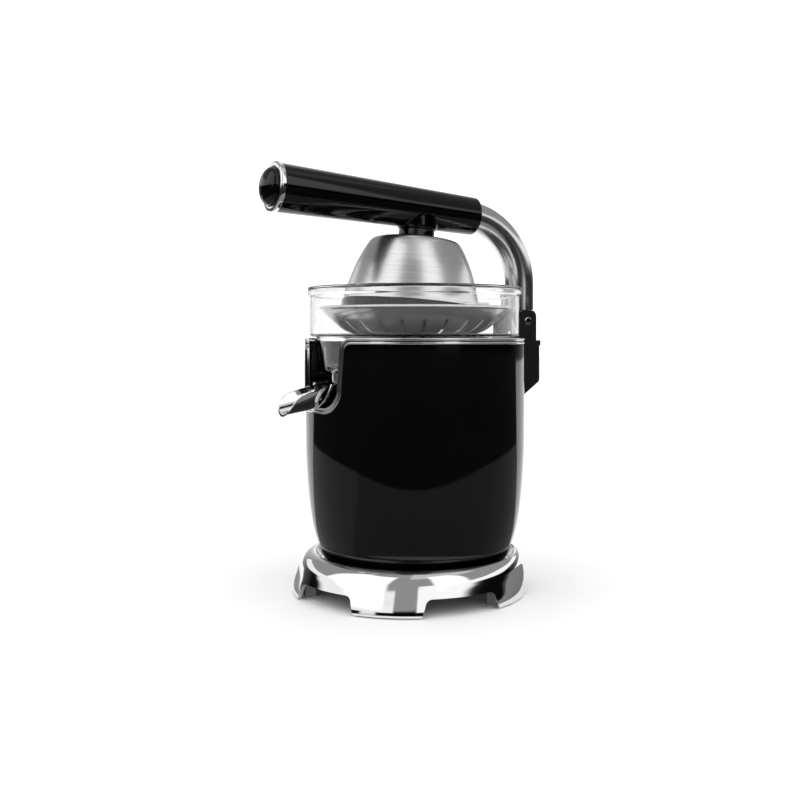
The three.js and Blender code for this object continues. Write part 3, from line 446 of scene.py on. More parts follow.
def textured_plastic(name, dark, light, grain_mm, roughness):
    """Fine spark-eroded texture on matt mouldings."""
    material, tree, shader = start_material(name, light, 0.0, roughness)
    grain = noise_field(tree, 1 / (grain_mm * MM), detail=4)
    vary(tree, grain, shader.inputs["Roughness"], roughness - 0.08, roughness + 0.12)
    tint(tree, noise_field(tree, 40), shader.inputs["Base Color"], dark, light)
    bump(tree, grain, shader, 0.04, 0.6)
    return material


def clear_material():
    material, tree, shader = start_material("clear_plastic", (0.95, 0.955, 0.955), 0.0, 0.02, IOR=1.47)
    shader.inputs["Transmission Weight"].default_value = 1.0
    vary(tree, noise_field(tree, 40, detail=6), shader.inputs["Roughness"], 0.0, 0.035)
    bump(tree, noise_field(tree, 30, detail=1), shader, 0.03, 0.25)
    return material


def turned_metal(name, dark, light, roughness):
    """Turned or plated small metal parts."""
    material, tree, shader = start_material(name, light, 1.0, roughness)
    marks = noise_field(tree, 1, (900, 900, 5200), 3)
    vary(tree, marks, shader.inputs["Roughness"], roughness - 0.1, roughness + 0.12)
    tint(tree, noise_field(tree, 120), shader.inputs["Base Color"], dark, light)
    bump(tree, marks, shader, 0.01, 0.4)
    return material


CHROME = chrome_material()
BRUSHED = spun_material("brushed_dome", (0.68, 0.68, 0.69), (0.76, 0.76, 0.77), (0.20, 0.27), 0.7)
SPUN = spun_material("spun_strainer", (0.60, 0.60, 0.61), (0.72, 0.72, 0.73), (0.16, 0.26), 0.4, 0.8)
TUBE = tube_material()
GLOSS = gloss_material("piano_black")
DARK = textured_plastic("dark_plastic", (0.004, 0.004, 0.0045), (0.009, 0.009, 0.0095), 0.35, 0.36)
BRACKET = textured_plastic("satin_black", (0.0015, 0.0015, 0.0016), (0.004, 0.004, 0.0042), 0.3, 0.3)
PAD = textured_plastic("grey_rubber", (0.20, 0.20, 0.20), (0.26, 0.26, 0.26), 0.6, 0.7)
CLEAR = clear_material()
RUBBER = textured_plastic("black_rubber", (0.008, 0.008, 0.008), (0.020, 0.020, 0.020), 0.6, 0.75)
NYLON = textured_plastic("natural_nylon", (0.66, 0.63, 0.55), (0.76, 0.73, 0.65), 0.8, 0.42)
STEEL = turned_metal("zinc_steel", (0.42, 0.43, 0.44), (0.58, 0.59, 0.60), 0.32)
BRASS = turned_metal("turned_brass", (0.50, 0.36, 0.12), (0.70, 0.54, 0.22), 0.3)
MAGNET = textured_plastic("ferrite", (0.035, 0.034, 0.033), (0.07, 0.068, 0.066), 0.9, 0.6)


# What each material slot of the CAD record is made of.
SLOT_MATERIALS = {
    "chrome": CHROME, "brushed": BRUSHED, "satin_steel": TUBE, "stainless": SPUN, "steel": STEEL,
    "brass": BRASS, "black_gloss": GLOSS, "dark_plastic": DARK, "nylon": NYLON, "magnet": MAGNET,
    "rubber": RUBBER, "clear_plastic": CLEAR,
}


# ---- base and housing --------------------------------------------------------------------
def base_ring():
    """The chrome base. Its feet ring stands forward of the crest, so it leans between them."""
    shoulder = spline([(68.2, BASE_TOP_Z), (70.6, 26), (72.1, 28.2), (BASE_CREST_RADIUS, 29),
                       (76, 28.1), (78.2, 26), (80, 22.7), (81.1, 19), (82.7, 12.5), (84.4, 5.5),
                       (BASE_RADIUS - 0.1, 2.4)], 7)
    inner = [(82.7, 0.9), (82, 6), (80.5, 12.5), (78.6, 18.5), (76.5, 23.2), (74.4, 24.8),
             (72.4, 23.4), (70.4, BASE_TOP_Z - BASE_WALL), (30, BASE_TOP_Z - BASE_WALL)]
    outline = sharp([(30, BASE_TOP_Z)] + shoulder) + [(BASE_RADIUS - 0.1, 0.9, 0.7)] + sharp(inner)
    ring = revolve("base_chrome", rounded(outline), 240, placed(BASE_Y))
    for point in ring.data.vertices:
        radius = math.hypot(point.co.x, point.co.y) / MM
        share = (BASE_RADIUS - radius) / (BASE_RADIUS - BASE_CREST_RADIUS)
        point.co.y -= BASE_Y * MM * min(max(share, 0), 1)
    return combine(ring, [foot_notch(k) for k in range(FOOT_COUNT)], "DIFFERENCE", 40)


def foot_notch(index):
    """The gap beside foot number index: a trapezium with rounded upper corners."""
    direction = FIRST_FOOT_DEG + (index + 0.5) * 360 / FOOT_COUNT
    corners = [(-31, -3, 0), (31, -3, 0), (24.8, NOTCH_TOP_Z, 5.5), (-24.8, NOTCH_TOP_Z, 5.5)]
    place = placed(BASE_Y) @ Matrix.Rotation(math.radians(direction), 4, "Z")
    return extrude(f"notch_{index}", rounded(corners, 8), -BASE_RADIUS - 5, -BASE_RADIUS + 22, "Y", place)


def window_outline(inset, ceiling=None):
    """Right half of the spout window's edge as (x, z), from the bottom up to where it flares out
    into the rim. inset is inwards; a ceiling carries the edge on up to that height."""
    half_top = WINDOW_HALF_WIDTH - inset
    half_bottom = half_top - 2
    corner = WINDOW_CORNER - inset
    flare_x = WINDOW_HALF_WIDTH + WINDOW_FLARE
    flare_z = SHELL_TOP_Z + 0.3 - WINDOW_FLARE
    flare = WINDOW_FLARE + inset
    right = arc((half_bottom - corner, WINDOW_BOTTOM_Z + inset + corner), corner, -90, 0, 12)
    right += arc((flare_x, flare_z), flare, 180, 90, 8)
    if ceiling is not None:
        right.append((flare_x, ceiling))
    return right


def mirrored(right):
    return right + [(-x, z) for x, z in reversed(right)]


def housing():
    outer = spline([(66.3, 23.5), (68.1, 28), (70.9, 36), (74.3, 48), (77.2, 67), (79.2, 94),
                    (SHELL_RADIUS - 0.3, 120), (SHELL_RADIUS - 0.1, SHELL_TOP_Z)], 9)
    inner = [(r - 2.5, z) for r, z in reversed(outer[3:])]
    shell = revolve("housing_black", [(55, 23.5)] + outer + inner + [(55, 26)], 240)
    window = extrude("window", mirrored(window_outline(-0.3, RIM_TOP_Z + 10)), -95, -50, "Y")
    return combine(shell, [window], "DIFFERENCE")


def rim_trim():
    """One chrome bead with a groove in its face: round the rim, and down round the window."""
    edge = window_outline(TRIM_WIDTH / 2)
    ring_radius = RIM_RADIUS - TRIM_DEPTH
    ring_z = edge[-1][1]
    path = [(x, -math.sqrt(ring_radius ** 2 - x * x), z) for x, z in edge]
    start = math.asin(edge[-1][0] / ring_radius)
    steps = 150
    for step in range(1, steps):
        angle = start + (2 * math.pi - 2 * start) * step / steps
        path.append((ring_radius * math.sin(angle), -ring_radius * math.cos(angle), ring_z))
    path += [(-x, -math.sqrt(ring_radius ** 2 - x * x), z) for x, z in reversed(edge)]
    half, depth = TRIM_WIDTH / 2 + 0.35, TRIM_DEPTH
    groove = depth - 0.7
    section = rounded([(-half, -depth, 0.3), (half, -depth, 0.3), (half, depth, 0.9),
                       (0.95, depth, 0.5), (0.6, groove, 0.25), (-0.6, groove, 0.25),
                       (-0.95, depth, 0.5), (-half, depth, 0.9)], 4)

    def outward(point):
        return Vector((point.x, point.y, 0)).normalized()

    return sweep("rim_chrome", path, section, True, outward, sharp_deg=50)


def inner_rim():
    """The flat chrome top between the bead and the bowl."""
    outline = rounded([(73.4, 180.2, 0.2), (78.6, 180.2, 0.2), (78.6, 182.9, 0.5), (73.4, 182.9, 0.5)])
    ring = revolve("rim_top_chrome", outline, FINE)
    gap = extrude("gap", [(-35.5, 170), (35.5, 170), (35.5, 190), (-35.5, 190)], -95, -50, "Y")
    return combine(ring, [gap], "DIFFERENCE")


# ---- bowl, strainer, cone ------------------------------------------------------------------
def bowl():
    """The clear bowl: a raised tube at its middle and an outlet nozzle towards the spout."""
    top, floor, wall, radius = BOWL_TOP_Z, BOWL_FLOOR_Z, BOWL_WALL, BOWL_RADIUS
    shoulder = RIM_TOP_Z + 0.4
    outline = rounded([
        (9.8, floor, 0.4), (69.3, floor, 3.5), (71.2, shoulder - 3, 3), (72.5, shoulder, 1),
        (radius, shoulder + 0.3, 1), (radius, top - 6.5, 0.6), (radius + 1.7, top - 5.4, 0.6),
        (radius + 1.7, top, 0.9), (radius - 0.6, top, 0.8), (radius - wall, top - 2.4, 1.5),
        (radius - wall, shoulder + 1.7, 0.8), (70.6, shoulder + 1.4, 1), (68.8, 176, 3),
        (67, floor + wall, 3), (12, floor + wall, 1.2), (12, 178, 0.5), (9.8, 178, 0.5)], 4)
    cup = revolve("bowl_clear", outline, 144)
    bore = 5.4
    tip = rounded([(bore, 151.5, 0.4), (6.3, 151.5, 0.4), (7.2, floor + 1, 0), (bore, floor + 1, 0)])
    nozzle = revolve("nozzle", tip, 48, placed(NOZZLE_Y))
    outlet = revolve("outlet", [(0, 150), (bore, 150), (bore, 166), (0, 166)], 48, placed(NOZZLE_Y))
    combine(cup, [nozzle], "UNION")
    return combine(cup, [outlet], "DIFFERENCE")


def strainer():
    """The spun dish, cut through by its ring of radial slots."""
    sheet = 0.8
    dish = spline([(37, 184.2), (50, 187.7), (60, 195.2), (68, STRAINER_RIM_Z - 2.2)], 9)
    upper = [(r - 0.3, z + sheet) for r, z in reversed(dish)]
    rim = [(STRAINER_RADIUS - 0.2, STRAINER_RIM_Z - 1.6, 0.5), (STRAINER_RADIUS, STRAINER_RIM_Z, 0.7),
           (STRAINER_RADIUS - 2.2, STRAINER_RIM_Z, 0.7), (STRAINER_RADIUS - 1.8, STRAINER_RIM_Z - 1, 0.3)]
    outline = [(5, 178.4, 0), (13.5, 178.4, 1), (16, 184, 2)] + sharp(dish) + rim + sharp(upper)
    outline = rounded(outline + [(15.4, 184 + sheet, 2), (12.8, 178.4 + sheet, 1), (5, 178.4 + sheet, 0)])
    plate = revolve("strainer_steel", outline, 240)
    slot = arc((SLOT_OUTER, 0), SLOT_HALF_WIDTH, -90, 90, 8)
    slot += arc((SLOT_INNER, 0), SLOT_HALF_WIDTH, 90, 270, 8)
    slots = []
    for index in range(SLOT_COUNT):
        turn = Matrix.Rotation(2 * math.pi * (index + 0.5) / SLOT_COUNT, 4, "Z")
        slots.append(extrude(f"slot_{index}", slot, 180, 210, "Z", turn))
    return combine(plate, slots, "DIFFERENCE", 40)


def reamer_cone():
    """Eight rounded ribs that run up to a point, on a flat base disc."""
    rows, flats, ribs = 48, 192, 8
    points, faces = [], []
    for row in range(rows + 1):
        share = row / rows
        height = 190.4 + 45.6 * share
        core = 22 * (1 - share) ** 0.85 + 0.8 * (1 - share)
        rib = 9.5 * math.sin(math.pi * min(share * 0.92 + 0.30, 1.0)) * (1 - share) ** 0.25
        for flat in range(flats):
            angle = 2 * math.pi * flat / flats
            crest = (0.5 + 0.5 * math.cos(ribs * angle)) ** 2.2
            radius = core + rib * crest
            points.append((radius * math.cos(angle), radius * math.sin(angle), height))
    for row in range(rows):
        for flat in range(flats):
            after = (flat + 1) % flats
            faces.append((row * flats + flat, row * flats + after,
                          (row + 1) * flats + after, (row + 1) * flats + flat))
    faces.append(tuple(range(flats)))
    faces.append(tuple(range(rows * flats, (rows + 1) * flats)))
    return make_object("cone_ribs", points, faces, sharp_deg=50)


def cone_disc():
    outline = rounded([(4.4, 183, 0), (9, 183, 0.8), (9, 189, 1.5), (33, 189, 0.6), (33, 190.4, 0.6),
                       (20, 191.2, 0), (4.4, 191.2, 0)])
    return revolve("cone_disc", outline, MEDIUM)


# ---- spout -------------------------------------------------------------------------------
SPOUT_PLACE = placed(SPOUT_TIP_Y, SPOUT_TIP_Z, SPOUT_PITCH_DEG)
REAR_TOP, REAR_BOTTOM = 35.5, 25.7         # how far back the slanting rear end runs


def spout_chute():
    """A half pipe, trimmed in side view to a scoop at its tip."""
    side = bend((0, 0), (3.8, 8.8), (10.3, 11.8), 10)
    side += bend((10.3, 11.8), (14, 13.5), (19.5, 13.6), 8)[1:]
    side += bend((31.8, 13.8), (34, 14.2), (REAR_TOP, SPOUT_RADIUS), 6)
    side += [(REAR_BOTTOM, -1), (0, -1)]
    wall = arc((0, SPOUT_RADIUS), SPOUT_RADIUS, 180, 360, 64)
    wall += arc((0, SPOUT_RADIUS), SPOUT_RADIUS - SPOUT_WALL, 360, 180, 64)
    chute = extrude("spout_chrome", wall, -5, 60, "Y", SPOUT_PLACE)
    trim = extrude("side", side, -20, 20, "X", SPOUT_PLACE)
    return soften(combine(chute, [trim], "INTERSECT"), 0.35)


def spout_flange():
    """The rolled edge at the chute's rear, in the slanting plane where it meets the holder."""
    path = []
    for step in range(41):
        angle = math.pi + step * math.pi / 40
        height = SPOUT_RADIUS + (SPOUT_RADIUS - 0.2) * math.sin(angle)
        back = REAR_BOTTOM + (REAR_TOP - REAR_BOTTOM) * height / SPOUT_RADIUS
        path.append(((SPOUT_RADIUS - 0.2) * math.cos(angle), back - 0.9, height))
    return sweep("spout_flange", path, circle(0.85, 12), place=SPOUT_PLACE)


# ---- hinge, arm and grip --------------------------------------------------------------------
def hinge_bracket():
    """The block on the housing's back, with a fork of two ears that hold the pin."""
    ear = 8.05
    side = rounded([(76, 136, 0), (81, 136, 0), (100.4, 149.8, 4), (100.4, 177, 0)], 6)
    side += [(101.5, 177), (101.5, 181)]
    side += rounded([(HINGE_Y + ear, 181, 0), (HINGE_Y + ear, HINGE_Z + ear, 5),
                     (HINGE_Y - ear, HINGE_Z + ear, 5), (HINGE_Y - ear, 181, 0), (76, 181, 0)], 10)
    bracket = extrude("bracket_black", side, -BRACKET_HALF_WIDTH, BRACKET_HALF_WIDTH, "X")
    fork = extrude("fork", [(70, 181), (110, 181), (110, 230), (70, 230)], -11.5, 11.5, "X")
    body = revolve("body", [(0, 130), (RIM_RADIUS + 0.3, 130), (RIM_RADIUS + 0.3, 190), (0, 190)], FINE)
    hole = extrude("hole", circle(PIN_HOLE_RADIUS, 32), -30, 30, "X", placed(HINGE_Y, HINGE_Z))
    return soften(combine(bracket, [fork, body, hole], "DIFFERENCE", 40), 0.8)


def arm_knuckle():
    """The tongue between the ears, and the plug that carries the arm's tube."""
    radius, top = KNUCKLE_RADIUS, 203.7
    side = bend((HINGE_Y + radius, HINGE_Z + 3), (HINGE_Y + 8.5, top), (TUBE_Y + 7.4, top), 8)
    side += [(TUBE_Y - 10, top)] + arc((HINGE_Y, HINGE_Z), radius, 180, 360, 32)
    tongue = extrude("knuckle_black", side, -11.1, 11.1, "X")
    plug = revolve("plug", [(0, 202), (9.1, 202), (9.1, 222), (0, 222)], 48, placed(TUBE_Y))
    hole = extrude("hole", circle(PIN_HOLE_RADIUS, 32), -30, 30, "X", placed(HINGE_Y, HINGE_Z))
    combine(tongue, [plug], "UNION")
    return soften(combine(tongue, [hole], "DIFFERENCE", 40), 0.7)


def hinge_pin():
    half = 16.8
    outline = rounded([(0, -half, 0), (2.85, -half, 0.5), (2.85, half, 0.5), (0, half, 0)])
    place = placed(HINGE_Y, HINGE_Z) @ Matrix.Rotation(math.pi / 2, 4, "Y")
    return revolve("pin_chrome", outline, 40, place)


DOME_PLACE = placed(DOME_Y, DOME_EDGE_Z, -DOME_LEAN_DEG)
BEND_DEG = 90 - GRIP_RISE_DEG
BEND_END = arc((TUBE_Y - BEND_RADIUS, BEND_Z), BEND_RADIUS, BEND_DEG, BEND_DEG, 1)[0]
SLOPE = math.radians(GRIP_RISE_DEG)


def arm_tube():
    path = [(0, TUBE_Y, z) for z in (TUBE_BOTTOM_Z, 210, 218)]
    path += [(0, y, z) for y, z in arc((TUBE_Y - BEND_RADIUS, BEND_Z), BEND_RADIUS, 0, BEND_DEG, 60)]
    for onward in (10, 60, GRIP_LENGTH - 20):
        path.append((0, BEND_END[0] - onward * math.cos(SLOPE), BEND_END[1] + onward * math.sin(SLOPE)))
    tube = sweep("tube_steel", path, circle(TUBE_RADIUS, 72), outward=lambda point: Vector((1, 0, 0)))
    socket = [(0, 200), (TUBE_BORE, 200), (TUBE_BORE, 223), (0, 223)]
    bore = revolve("bore", socket, 48, placed(TUBE_Y))
    return soften(combine(tube, [bore], "DIFFERENCE"), 0.5)


def grip_place():
    """Origin at the middle of the grip's rear end, Z along the grip towards its front."""
    rear_y = BEND_END[0] + GRIP_REAR_BACK * math.cos(SLOPE)
    rear_z = BEND_END[1] - GRIP_REAR_BACK * math.sin(SLOPE)
    return placed(rear_y, rear_z, 90 - GRIP_RISE_DEG)


def grip_sleeve():
    outline = rounded([(11.3, 14, 0), (11.4, 0, 0.8), (GRIP_REAR_RADIUS, 0, 1.6),
                       (GRIP_FRONT_RADIUS, GRIP_LENGTH, 0.4), (6, GRIP_LENGTH, 0.3),
                       (6, GRIP_LENGTH - 8, 0)], 8)
    return revolve("grip_black", outline, MEDIUM, grip_place())


def grip_boss():
    """The neck moulded under the grip, blended into it by a concave fillet."""
    flats, fillet, steps = 96, 4.0, 8
    to_grip = grip_place().inverted() @ DOME_PLACE
    taper = (GRIP_FRONT_RADIUS - GRIP_REAR_RADIUS) / GRIP_LENGTH

    def grip_height(x, y):
        """How far up the boss's own axis the grip's surface is, at (x, y) beside it."""
        low, high = 50.0, 80.0
        for _ in range(40):
            middle = (low + high) / 2
            point = (to_grip @ (Vector((x, y, middle)) * MM)) / MM
            inside = math.hypot(point.x, point.y) < GRIP_REAR_RADIUS + taper * point.z
            low, high = (low, middle) if inside else (middle, high)
        return (low + high) / 2

    points, faces = [], []
    bottom = DOME_NECK_HEIGHT + 6.1
    for flat in range(flats):
        angle = 2 * math.pi * flat / flats
        across, along = math.cos(angle), math.sin(angle)
        reach = fillet * (0.12 + 0.88 * along * along)
        top_radius = min(BOSS_RADIUS + reach, 14.2 / max(abs(across), 0.01))
        top_radius = max(top_radius, BOSS_RADIUS - 0.45)
        top = grip_height(min(top_radius, BOSS_RADIUS + reach) * across * 0.985, top_radius * along)
        rows = [(BOSS_RADIUS - 2, bottom), (BOSS_RADIUS - 0.5, bottom), (BOSS_RADIUS, bottom + 0.5)]
        curve_start = (BOSS_RADIUS, max(top - 2 * fillet, bottom + 0.8))
        rows += bend(curve_start, (BOSS_RADIUS, top), (top_radius, top), steps)
        rows += [(top_radius - 3, top + 4)]
        points += [(r * across, r * along, z) for r, z in rows]
    size = len(points) // flats
    for flat in range(flats):
        here, there = flat * size, ((flat + 1) % flats) * size
        faces += [(here + k, there + k, there + k + 1, here + k + 1) for k in range(size - 1)]
    faces.append(tuple(k * size for k in range(flats)))
    faces.append(tuple(k * size + size - 1 for k in range(flats)))
    return make_object("grip_boss", points, faces, DOME_PLACE, 50)


def grip_ring():
    start, end = GRIP_LENGTH + 0.3, GRIP_LENGTH + 4.3
    outer, inner = GRIP_RING_RADIUS - 0.1, GRIP_CAP_RADIUS + 0.3
    outline = rounded([(6, start, 0), (outer, start, 0.7), (outer, end, 1.5), (inner, end, 0.6),
                       (inner, end - 1, 0.3), (6, end - 1, 0)], 5)
    return revolve("grip_ring_chrome", outline, MEDIUM, grip_place())


def grip_cap():
    """The domed button in the grip's front end."""
    start = GRIP_LENGTH + 3.6
    radius, shoulder, height = GRIP_CAP_RADIUS - 0.1, start + 1.2, 7.3
    curve = [(radius * x, shoulder + height * y) for x, y in arc((0, 0), 1, 0, 90, 16)]
    curve[-1] = (0, curve[-1][1])
    return revolve("grip_cap_black", [(0, start), (radius, start)] + curve, 72, grip_place())


# ---- press dome -----------------------------------------------------------------------------
DOME_SIDE = spline([(DOME_RADIUS - 0.3, DOME_STEEL_BOTTOM), (48.6, 9.5), (43.6, 26), (39.9, 35),
                    (35.4, 43.8), (32.2, 48.2), (27.5, 50), (14, DOME_NECK_HEIGHT)], 8)


def inset_side(inset):
    """The dome's side moved inwards, and down in step with its height."""
    return [(max(r - inset, 4.3), h - inset * h / DOME_NECK_HEIGHT) for r, h in DOME_SIDE]


def press_dome():
    top = DOME_NECK_HEIGHT
    outline = inset_side(0) + [(4.3, top), (4.3, top - 1.2)] + list(reversed(inset_side(1.2)))
    return revolve("dome_steel", outline, FINE, DOME_PLACE)


def dome_liner():
    """The black lining, whose lip shows below the steel."""
    top = DOME_NECK_HEIGHT
    lip_top = DOME_STEEL_BOTTOM - 0.2
    lip = rounded([(DOME_RADIUS - 3.7, 0, 0), (DOME_RADIUS - 3.6, -4.7, 1.0),
                   (DOME_RADIUS + 0.9, -4.7, 2.4), (DOME_RADIUS + 0.9, lip_top, 1.4),
                   (DOME_RADIUS - 1.8, lip_top, 0)], 8)
    outline = lip[1:] + inset_side(1.5)[1:] + [(4.3, top - 1.6), (4.3, top - 3.7)]
    return revolve("liner_black", outline + list(reversed(inset_side(3.7))), FINE, DOME_PLACE)


def dome_collar():
    low, high = DOME_NECK_HEIGHT + 0.1, DOME_NECK_HEIGHT + 5.9
    outline = rounded([(4.3, low, 0), (13.6, low, 0.4), (13, low + 1.2, 0.6), (13, high, 0.8),
                       (4.3, high, 0)], 5)
    return revolve("collar_black", outline, 72, DOME_PLACE)


def cord_gland():
    outline = rounded([(3.4, 0, 0), (5, 0, 0.4), (5, 8.8, 0.2), (7.5, 8.8, 0.6), (6.6, 12, 1.2),
                       (3.4, 12, 0.8)])
    return revolve("gland_rubber", outline, 48, placed(66, 42, -90))


# ---- the object ---------------------------------------------------------------------------
def build_object():
    show(base_ring(), "root", ["base_ring"], CHROME)
    show(housing(), "root", ["housing_shell"], GLOSS)
    show(rim_trim(), "root", ["rim_trim"], CHROME)
    show(inner_rim(), "root", [], CHROME)
    show(bowl(), "root", ["bowl"], CLEAR)
    show(strainer(), "root", ["strainer"], SPUN)
    show(reamer_cone(), "spindle_unit", ["reamer_cone"], GLOSS)
    show(cone_disc(), "spindle_unit", [], GLOSS)
    show(spout_chute(), "spout", ["spout_chute"], CHROME)
    show(spout_flange(), "spout", [], CHROME)
    show(hinge_bracket(), "root", ["hinge_bracket"], BRACKET)
    show(hinge_pin(), "root", ["hinge_pin"], CHROME)
    show(arm_knuckle(), "lever", ["arm_knuckle"], BRACKET)
    show(arm_tube(), "lever", ["arm_tube"], TUBE)
    show(grip_sleeve(), "lever", ["grip_sleeve"], GLOSS)
    show(grip_boss(), "lever", [], GLOSS)
    show(grip_ring(), "lever", ["grip_ring"], CHROME)
    show(grip_cap(), "lever", ["grip_cap"], GLOSS)
    show(press_dome(), "lever", ["press_dome"], BRUSHED)
    show(dome_liner(), "lever", ["dome_liner"], GLOSS)
    show(dome_collar(), "lever", ["dome_collar"], GLOSS)
    show(cord_gland(), "root", ["cord_gland"], RUBBER)
    finish_cad_nodes()


def finish_cad_nodes():
    """Gives every CAD node its procedural material, welded corners and small rounded edges."""
    for part in frame["record"]["subparts"]:
        node = frame["nodes"][part["node"]]
        node.data.materials.clear()
        is_pad = part["node"].startswith("foot_pad")
        node.data.materials.append(PAD if is_pad else SLOT_MATERIALS[part["material_slot"]])
        node.data.shade_smooth()
        weld = node.modifiers.new("weld", "WELD")
        weld.merge_threshold = 0.01 * MM
        soften(node, 0.25, 2, 40)


# ---- studio -------------------------------------------------------------------------------
def towards_camera():
    azimuth = math.radians(CAMERA_AZIMUTH_DEG)
    return Vector((math.sin(azimuth), -math.cos(azimuth), 0))


def add_camera():
    data = bpy.data.cameras.new("camera")
    data.lens = CAMERA_LENS
    data.sensor_width = 36
    data.shift_x, data.shift_y = CAMERA_SHIFT
    data.clip_end = 50
    camera = bpy.data.objects.new("camera", data)
    bpy.context.scene.collection.objects.link(camera)
    out = towards_camera()
    camera.location = AXIS + out * CAMERA_DISTANCE + Vector((0, 0, CAMERA_HEIGHT))
    camera.rotation_euler = out.to_track_quat("Z", "Y").to_euler()
    bpy.context.scene.camera = camera


def math_node(tree, operation, first, second=None, clamp=False):
    node = tree.nodes.new("ShaderNodeMath")
    node.operation = operation
    node.use_clamp = clamp
    for socket, value in zip(node.inputs, (first, second)):
        if value is None:
            continue
        if isinstance(value, (int, float)):
            socket.default_value = value
        else:
            tree.links.new(value, socket)
    return node.outputs["Value"]


def band(tree, value, low, high, softness):
    """One between low and high, falling to nought over softness outside them."""
    rise = math_node(tree, "DIVIDE", math_node(tree, "SUBTRACT", value, low - softness), softness, True)
    fall = math_node(tree, "DIVIDE", math_node(tree, "SUBTRACT", high + softness, value), softness, True)
    return math_node(tree, "MULTIPLY", rise, fall)


# Soft boxes as (azimuth from, to, elevation from, to, softness, brightness), degrees. Azimuth
# is measured from the camera's direction, positive to the right of the picture.
SOFT_BOXES = [
    (-95, -27, 17, 64, 6, 1.3),
    (26, 60, 17, 64, 6, 1.3),
    (-200, 200, 17, 64, 6, 0.30),
    (-150, -16, 11, 20, 2, 1.0),
    (8, 150, 11, 20, 2, 1.1),
    (-45, -33, 3, 12, 3, 0.9),
    (31, 44, 3, 12, 3, 1.0),
    (24, 44, -12, 3, 4, 0.16),
    (-200, 200, 66, 95, 6, 0.32),
    (0, 110, 58, 95, 10, 0.6),
]

# The white backdrop's brightness against how far round from the camera it is, in degrees.
BACKDROP = [(116, 0.0), (134, 0.08), (148, 0.25), (164, 0.5), (178, 1.0)]
DARKEST = 0.003              # what a reflection shows where there is no soft box
WHITE_LEVEL = 1.25           # the plain white behind the object

FLOOR_HALF = 6000
CARD_START = 105             # the cards lie between this radius and the flag's reach
CARD_REACH = 9000
CARD_SPREAD = 128            # degrees to either side of the camera
PALE_CARD_START = 56
CARD_STEP = 4


def backdrop(tree, azimuth):
    """The backdrop's brightness in reflections, from BACKDROP."""
    share = math_node(tree, "DIVIDE", math_node(tree, "ABSOLUTE", azimuth), 180.0)
    ramp = tree.nodes.new("ShaderNodeValToRGB")
    stops = ramp.color_ramp.elements
    while len(stops) < len(BACKDROP):
        stops.new(0.5)
    for stop, (degrees, brightness) in zip(stops, BACKDROP):
        stop.position = degrees / 180
        stop.color = (brightness, brightness, brightness, 1)
    tree.links.new(share, ramp.inputs["Fac"])
    return math_node(tree, "MAXIMUM", ramp.outputs["Color"], DARKEST)


def add_world():
    """A studio of soft boxes for reflections, and plain white for what the camera sees behind."""
    world = bpy.data.worlds.new("studio")
    bpy.context.scene.world = world
    world.use_nodes = True
    tree = world.node_tree
    out = towards_camera()
    right = Vector((-out.y, out.x, 0))
    direction = tree.nodes.new("ShaderNodeTexCoord").outputs["Generated"]

    def part_along(axis):
        dot = tree.nodes.new("ShaderNodeVectorMath")
        dot.operation = "DOT_PRODUCT"
        dot.inputs[1].default_value = axis
        tree.links.new(direction, dot.inputs[0])
        return dot.outputs["Value"]

    to_degrees = 180 / math.pi
    around = math_node(tree, "ARCTAN2", part_along(right), part_along(out))
    azimuth = math_node(tree, "MULTIPLY", around, to_degrees)
    upward = math_node(tree, "ARCSINE", part_along(Vector((0, 0, 1))))
    elevation = math_node(tree, "MULTIPLY", upward, to_degrees)
    total = backdrop(tree, azimuth)
    for az_low, az_high, el_low, el_high, softness, brightness in SOFT_BOXES:
        box = math_node(tree, "MULTIPLY", band(tree, azimuth, az_low, az_high, softness),
                        band(tree, elevation, el_low, el_high, softness))
        total = math_node(tree, "MAXIMUM", total, math_node(tree, "MULTIPLY", box, brightness))
    rays = tree.nodes.new("ShaderNodeLightPath")
    plain = math_node(tree, "MAXIMUM", rays.outputs["Is Camera Ray"], rays.outputs["Is Transmission Ray"])
    plain = math_node(tree, "MAXIMUM", plain, rays.outputs["Is Diffuse Ray"])
    strength = math_node(tree, "ADD", math_node(tree, "MULTIPLY", plain, WHITE_LEVEL),
                         math_node(tree, "MULTIPLY", math_node(tree, "SUBTRACT", 1.0, plain), total))
    background = tree.nodes["Background"]
    background.inputs["Color"].default_value = (1, 1, 1, 1)
    tree.links.new(strength, background.inputs["Strength"])


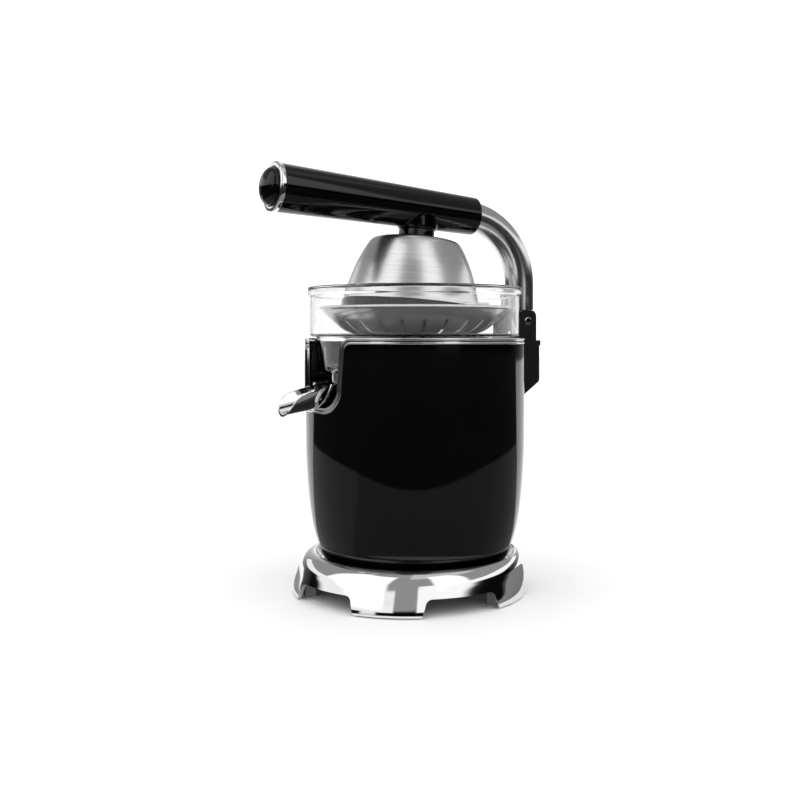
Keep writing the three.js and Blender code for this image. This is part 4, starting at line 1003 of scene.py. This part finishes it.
def add_floor():
    """A pale table."""
    half = FLOOR_HALF
    corners = [(-half, -half, 0), (half, -half, 0), (half, half, 0), (-half, half, 0)]
    floor = make_object("floor", corners, [(0, 1, 2, 3)])
    material, tree, shader = start_material("pale_floor", (0.93, 0.93, 0.93), 0.0, 0.9)
    tint(tree, noise_field(tree, 8), shader.inputs["Base Color"], (0.92, 0.92, 0.92), (0.94, 0.94, 0.94))
    floor.data.materials.append(material)


def add_cards():
    """Black, grey and pale cards just over the table on the camera's side. Only reflections see
    them: they keep the white table out of the gloss."""
    out = towards_camera()
    heading = math.degrees(math.atan2(out.y, out.x))
    left, right = heading - CARD_SPREAD, heading + CARD_SPREAD

    def flag_edge(end_turn):
        """Where the black flag starts, from the left end round to end_turn."""
        points = []
        for turn in range(-CARD_SPREAD, end_turn + 1, CARD_STEP):
            radius = 355 + 225 * (turn / 75) ** 2
            angle = math.radians(heading + turn)
            points.append((radius * math.cos(angle), radius * math.sin(angle)))
        return points

    edge = flag_edge(CARD_SPREAD)
    left_edge = flag_edge(-PALE_CARD_START)
    outside = arc((0, 0), CARD_REACH, right, left, 40)
    beside = arc((0, 0), CARD_START, right, left, 40)
    beside_left = arc((0, 0), CARD_START, heading - PALE_CARD_START, left, 12)
    cards = (("black_flag", edge + outside, 0.5, 0.002), ("grey_card", edge + beside, 0.6, 0.17),
             ("pale_card", left_edge + beside_left, 0.9, 0.26))
    for name, outline, height, brightness in cards:
        card = extrude(name, outline, height, height + 0.2, "Z")
        card.data.materials.append(start_material(name, (brightness,) * 3, 0.0, 1.0)[0])
        for ray in ("camera", "diffuse", "transmission", "volume_scatter", "shadow"):
            setattr(card, f"visible_{ray}", False)


def add_lights():
    """Two broad lights for gentle form and contact shadow."""
    out = towards_camera()
    right = Vector((-out.y, out.x, 0))
    for name, side, height, power in (("key", -0.9, 1.3, 2.5), ("fill", 0.9, 1.2, 2)):
        data = bpy.data.lights.new(name, "AREA")
        data.size = 0.9
        data.energy = power
        light = bpy.data.objects.new(name, data)
        bpy.context.scene.collection.objects.link(light)
        light.location = AXIS + out * 0.7 + right * side + Vector((0, 0, height))
        aim = light.location - (AXIS + Vector((0, 0, 0.12)))
        light.rotation_euler = aim.to_track_quat("Z", "Y").to_euler()
        light.visible_glossy = False
        light.visible_camera = False


bpy.context.scene.view_settings.view_transform = "Standard"
add_camera()
add_world()
add_floor()
add_cards()
add_lights()
build_object()
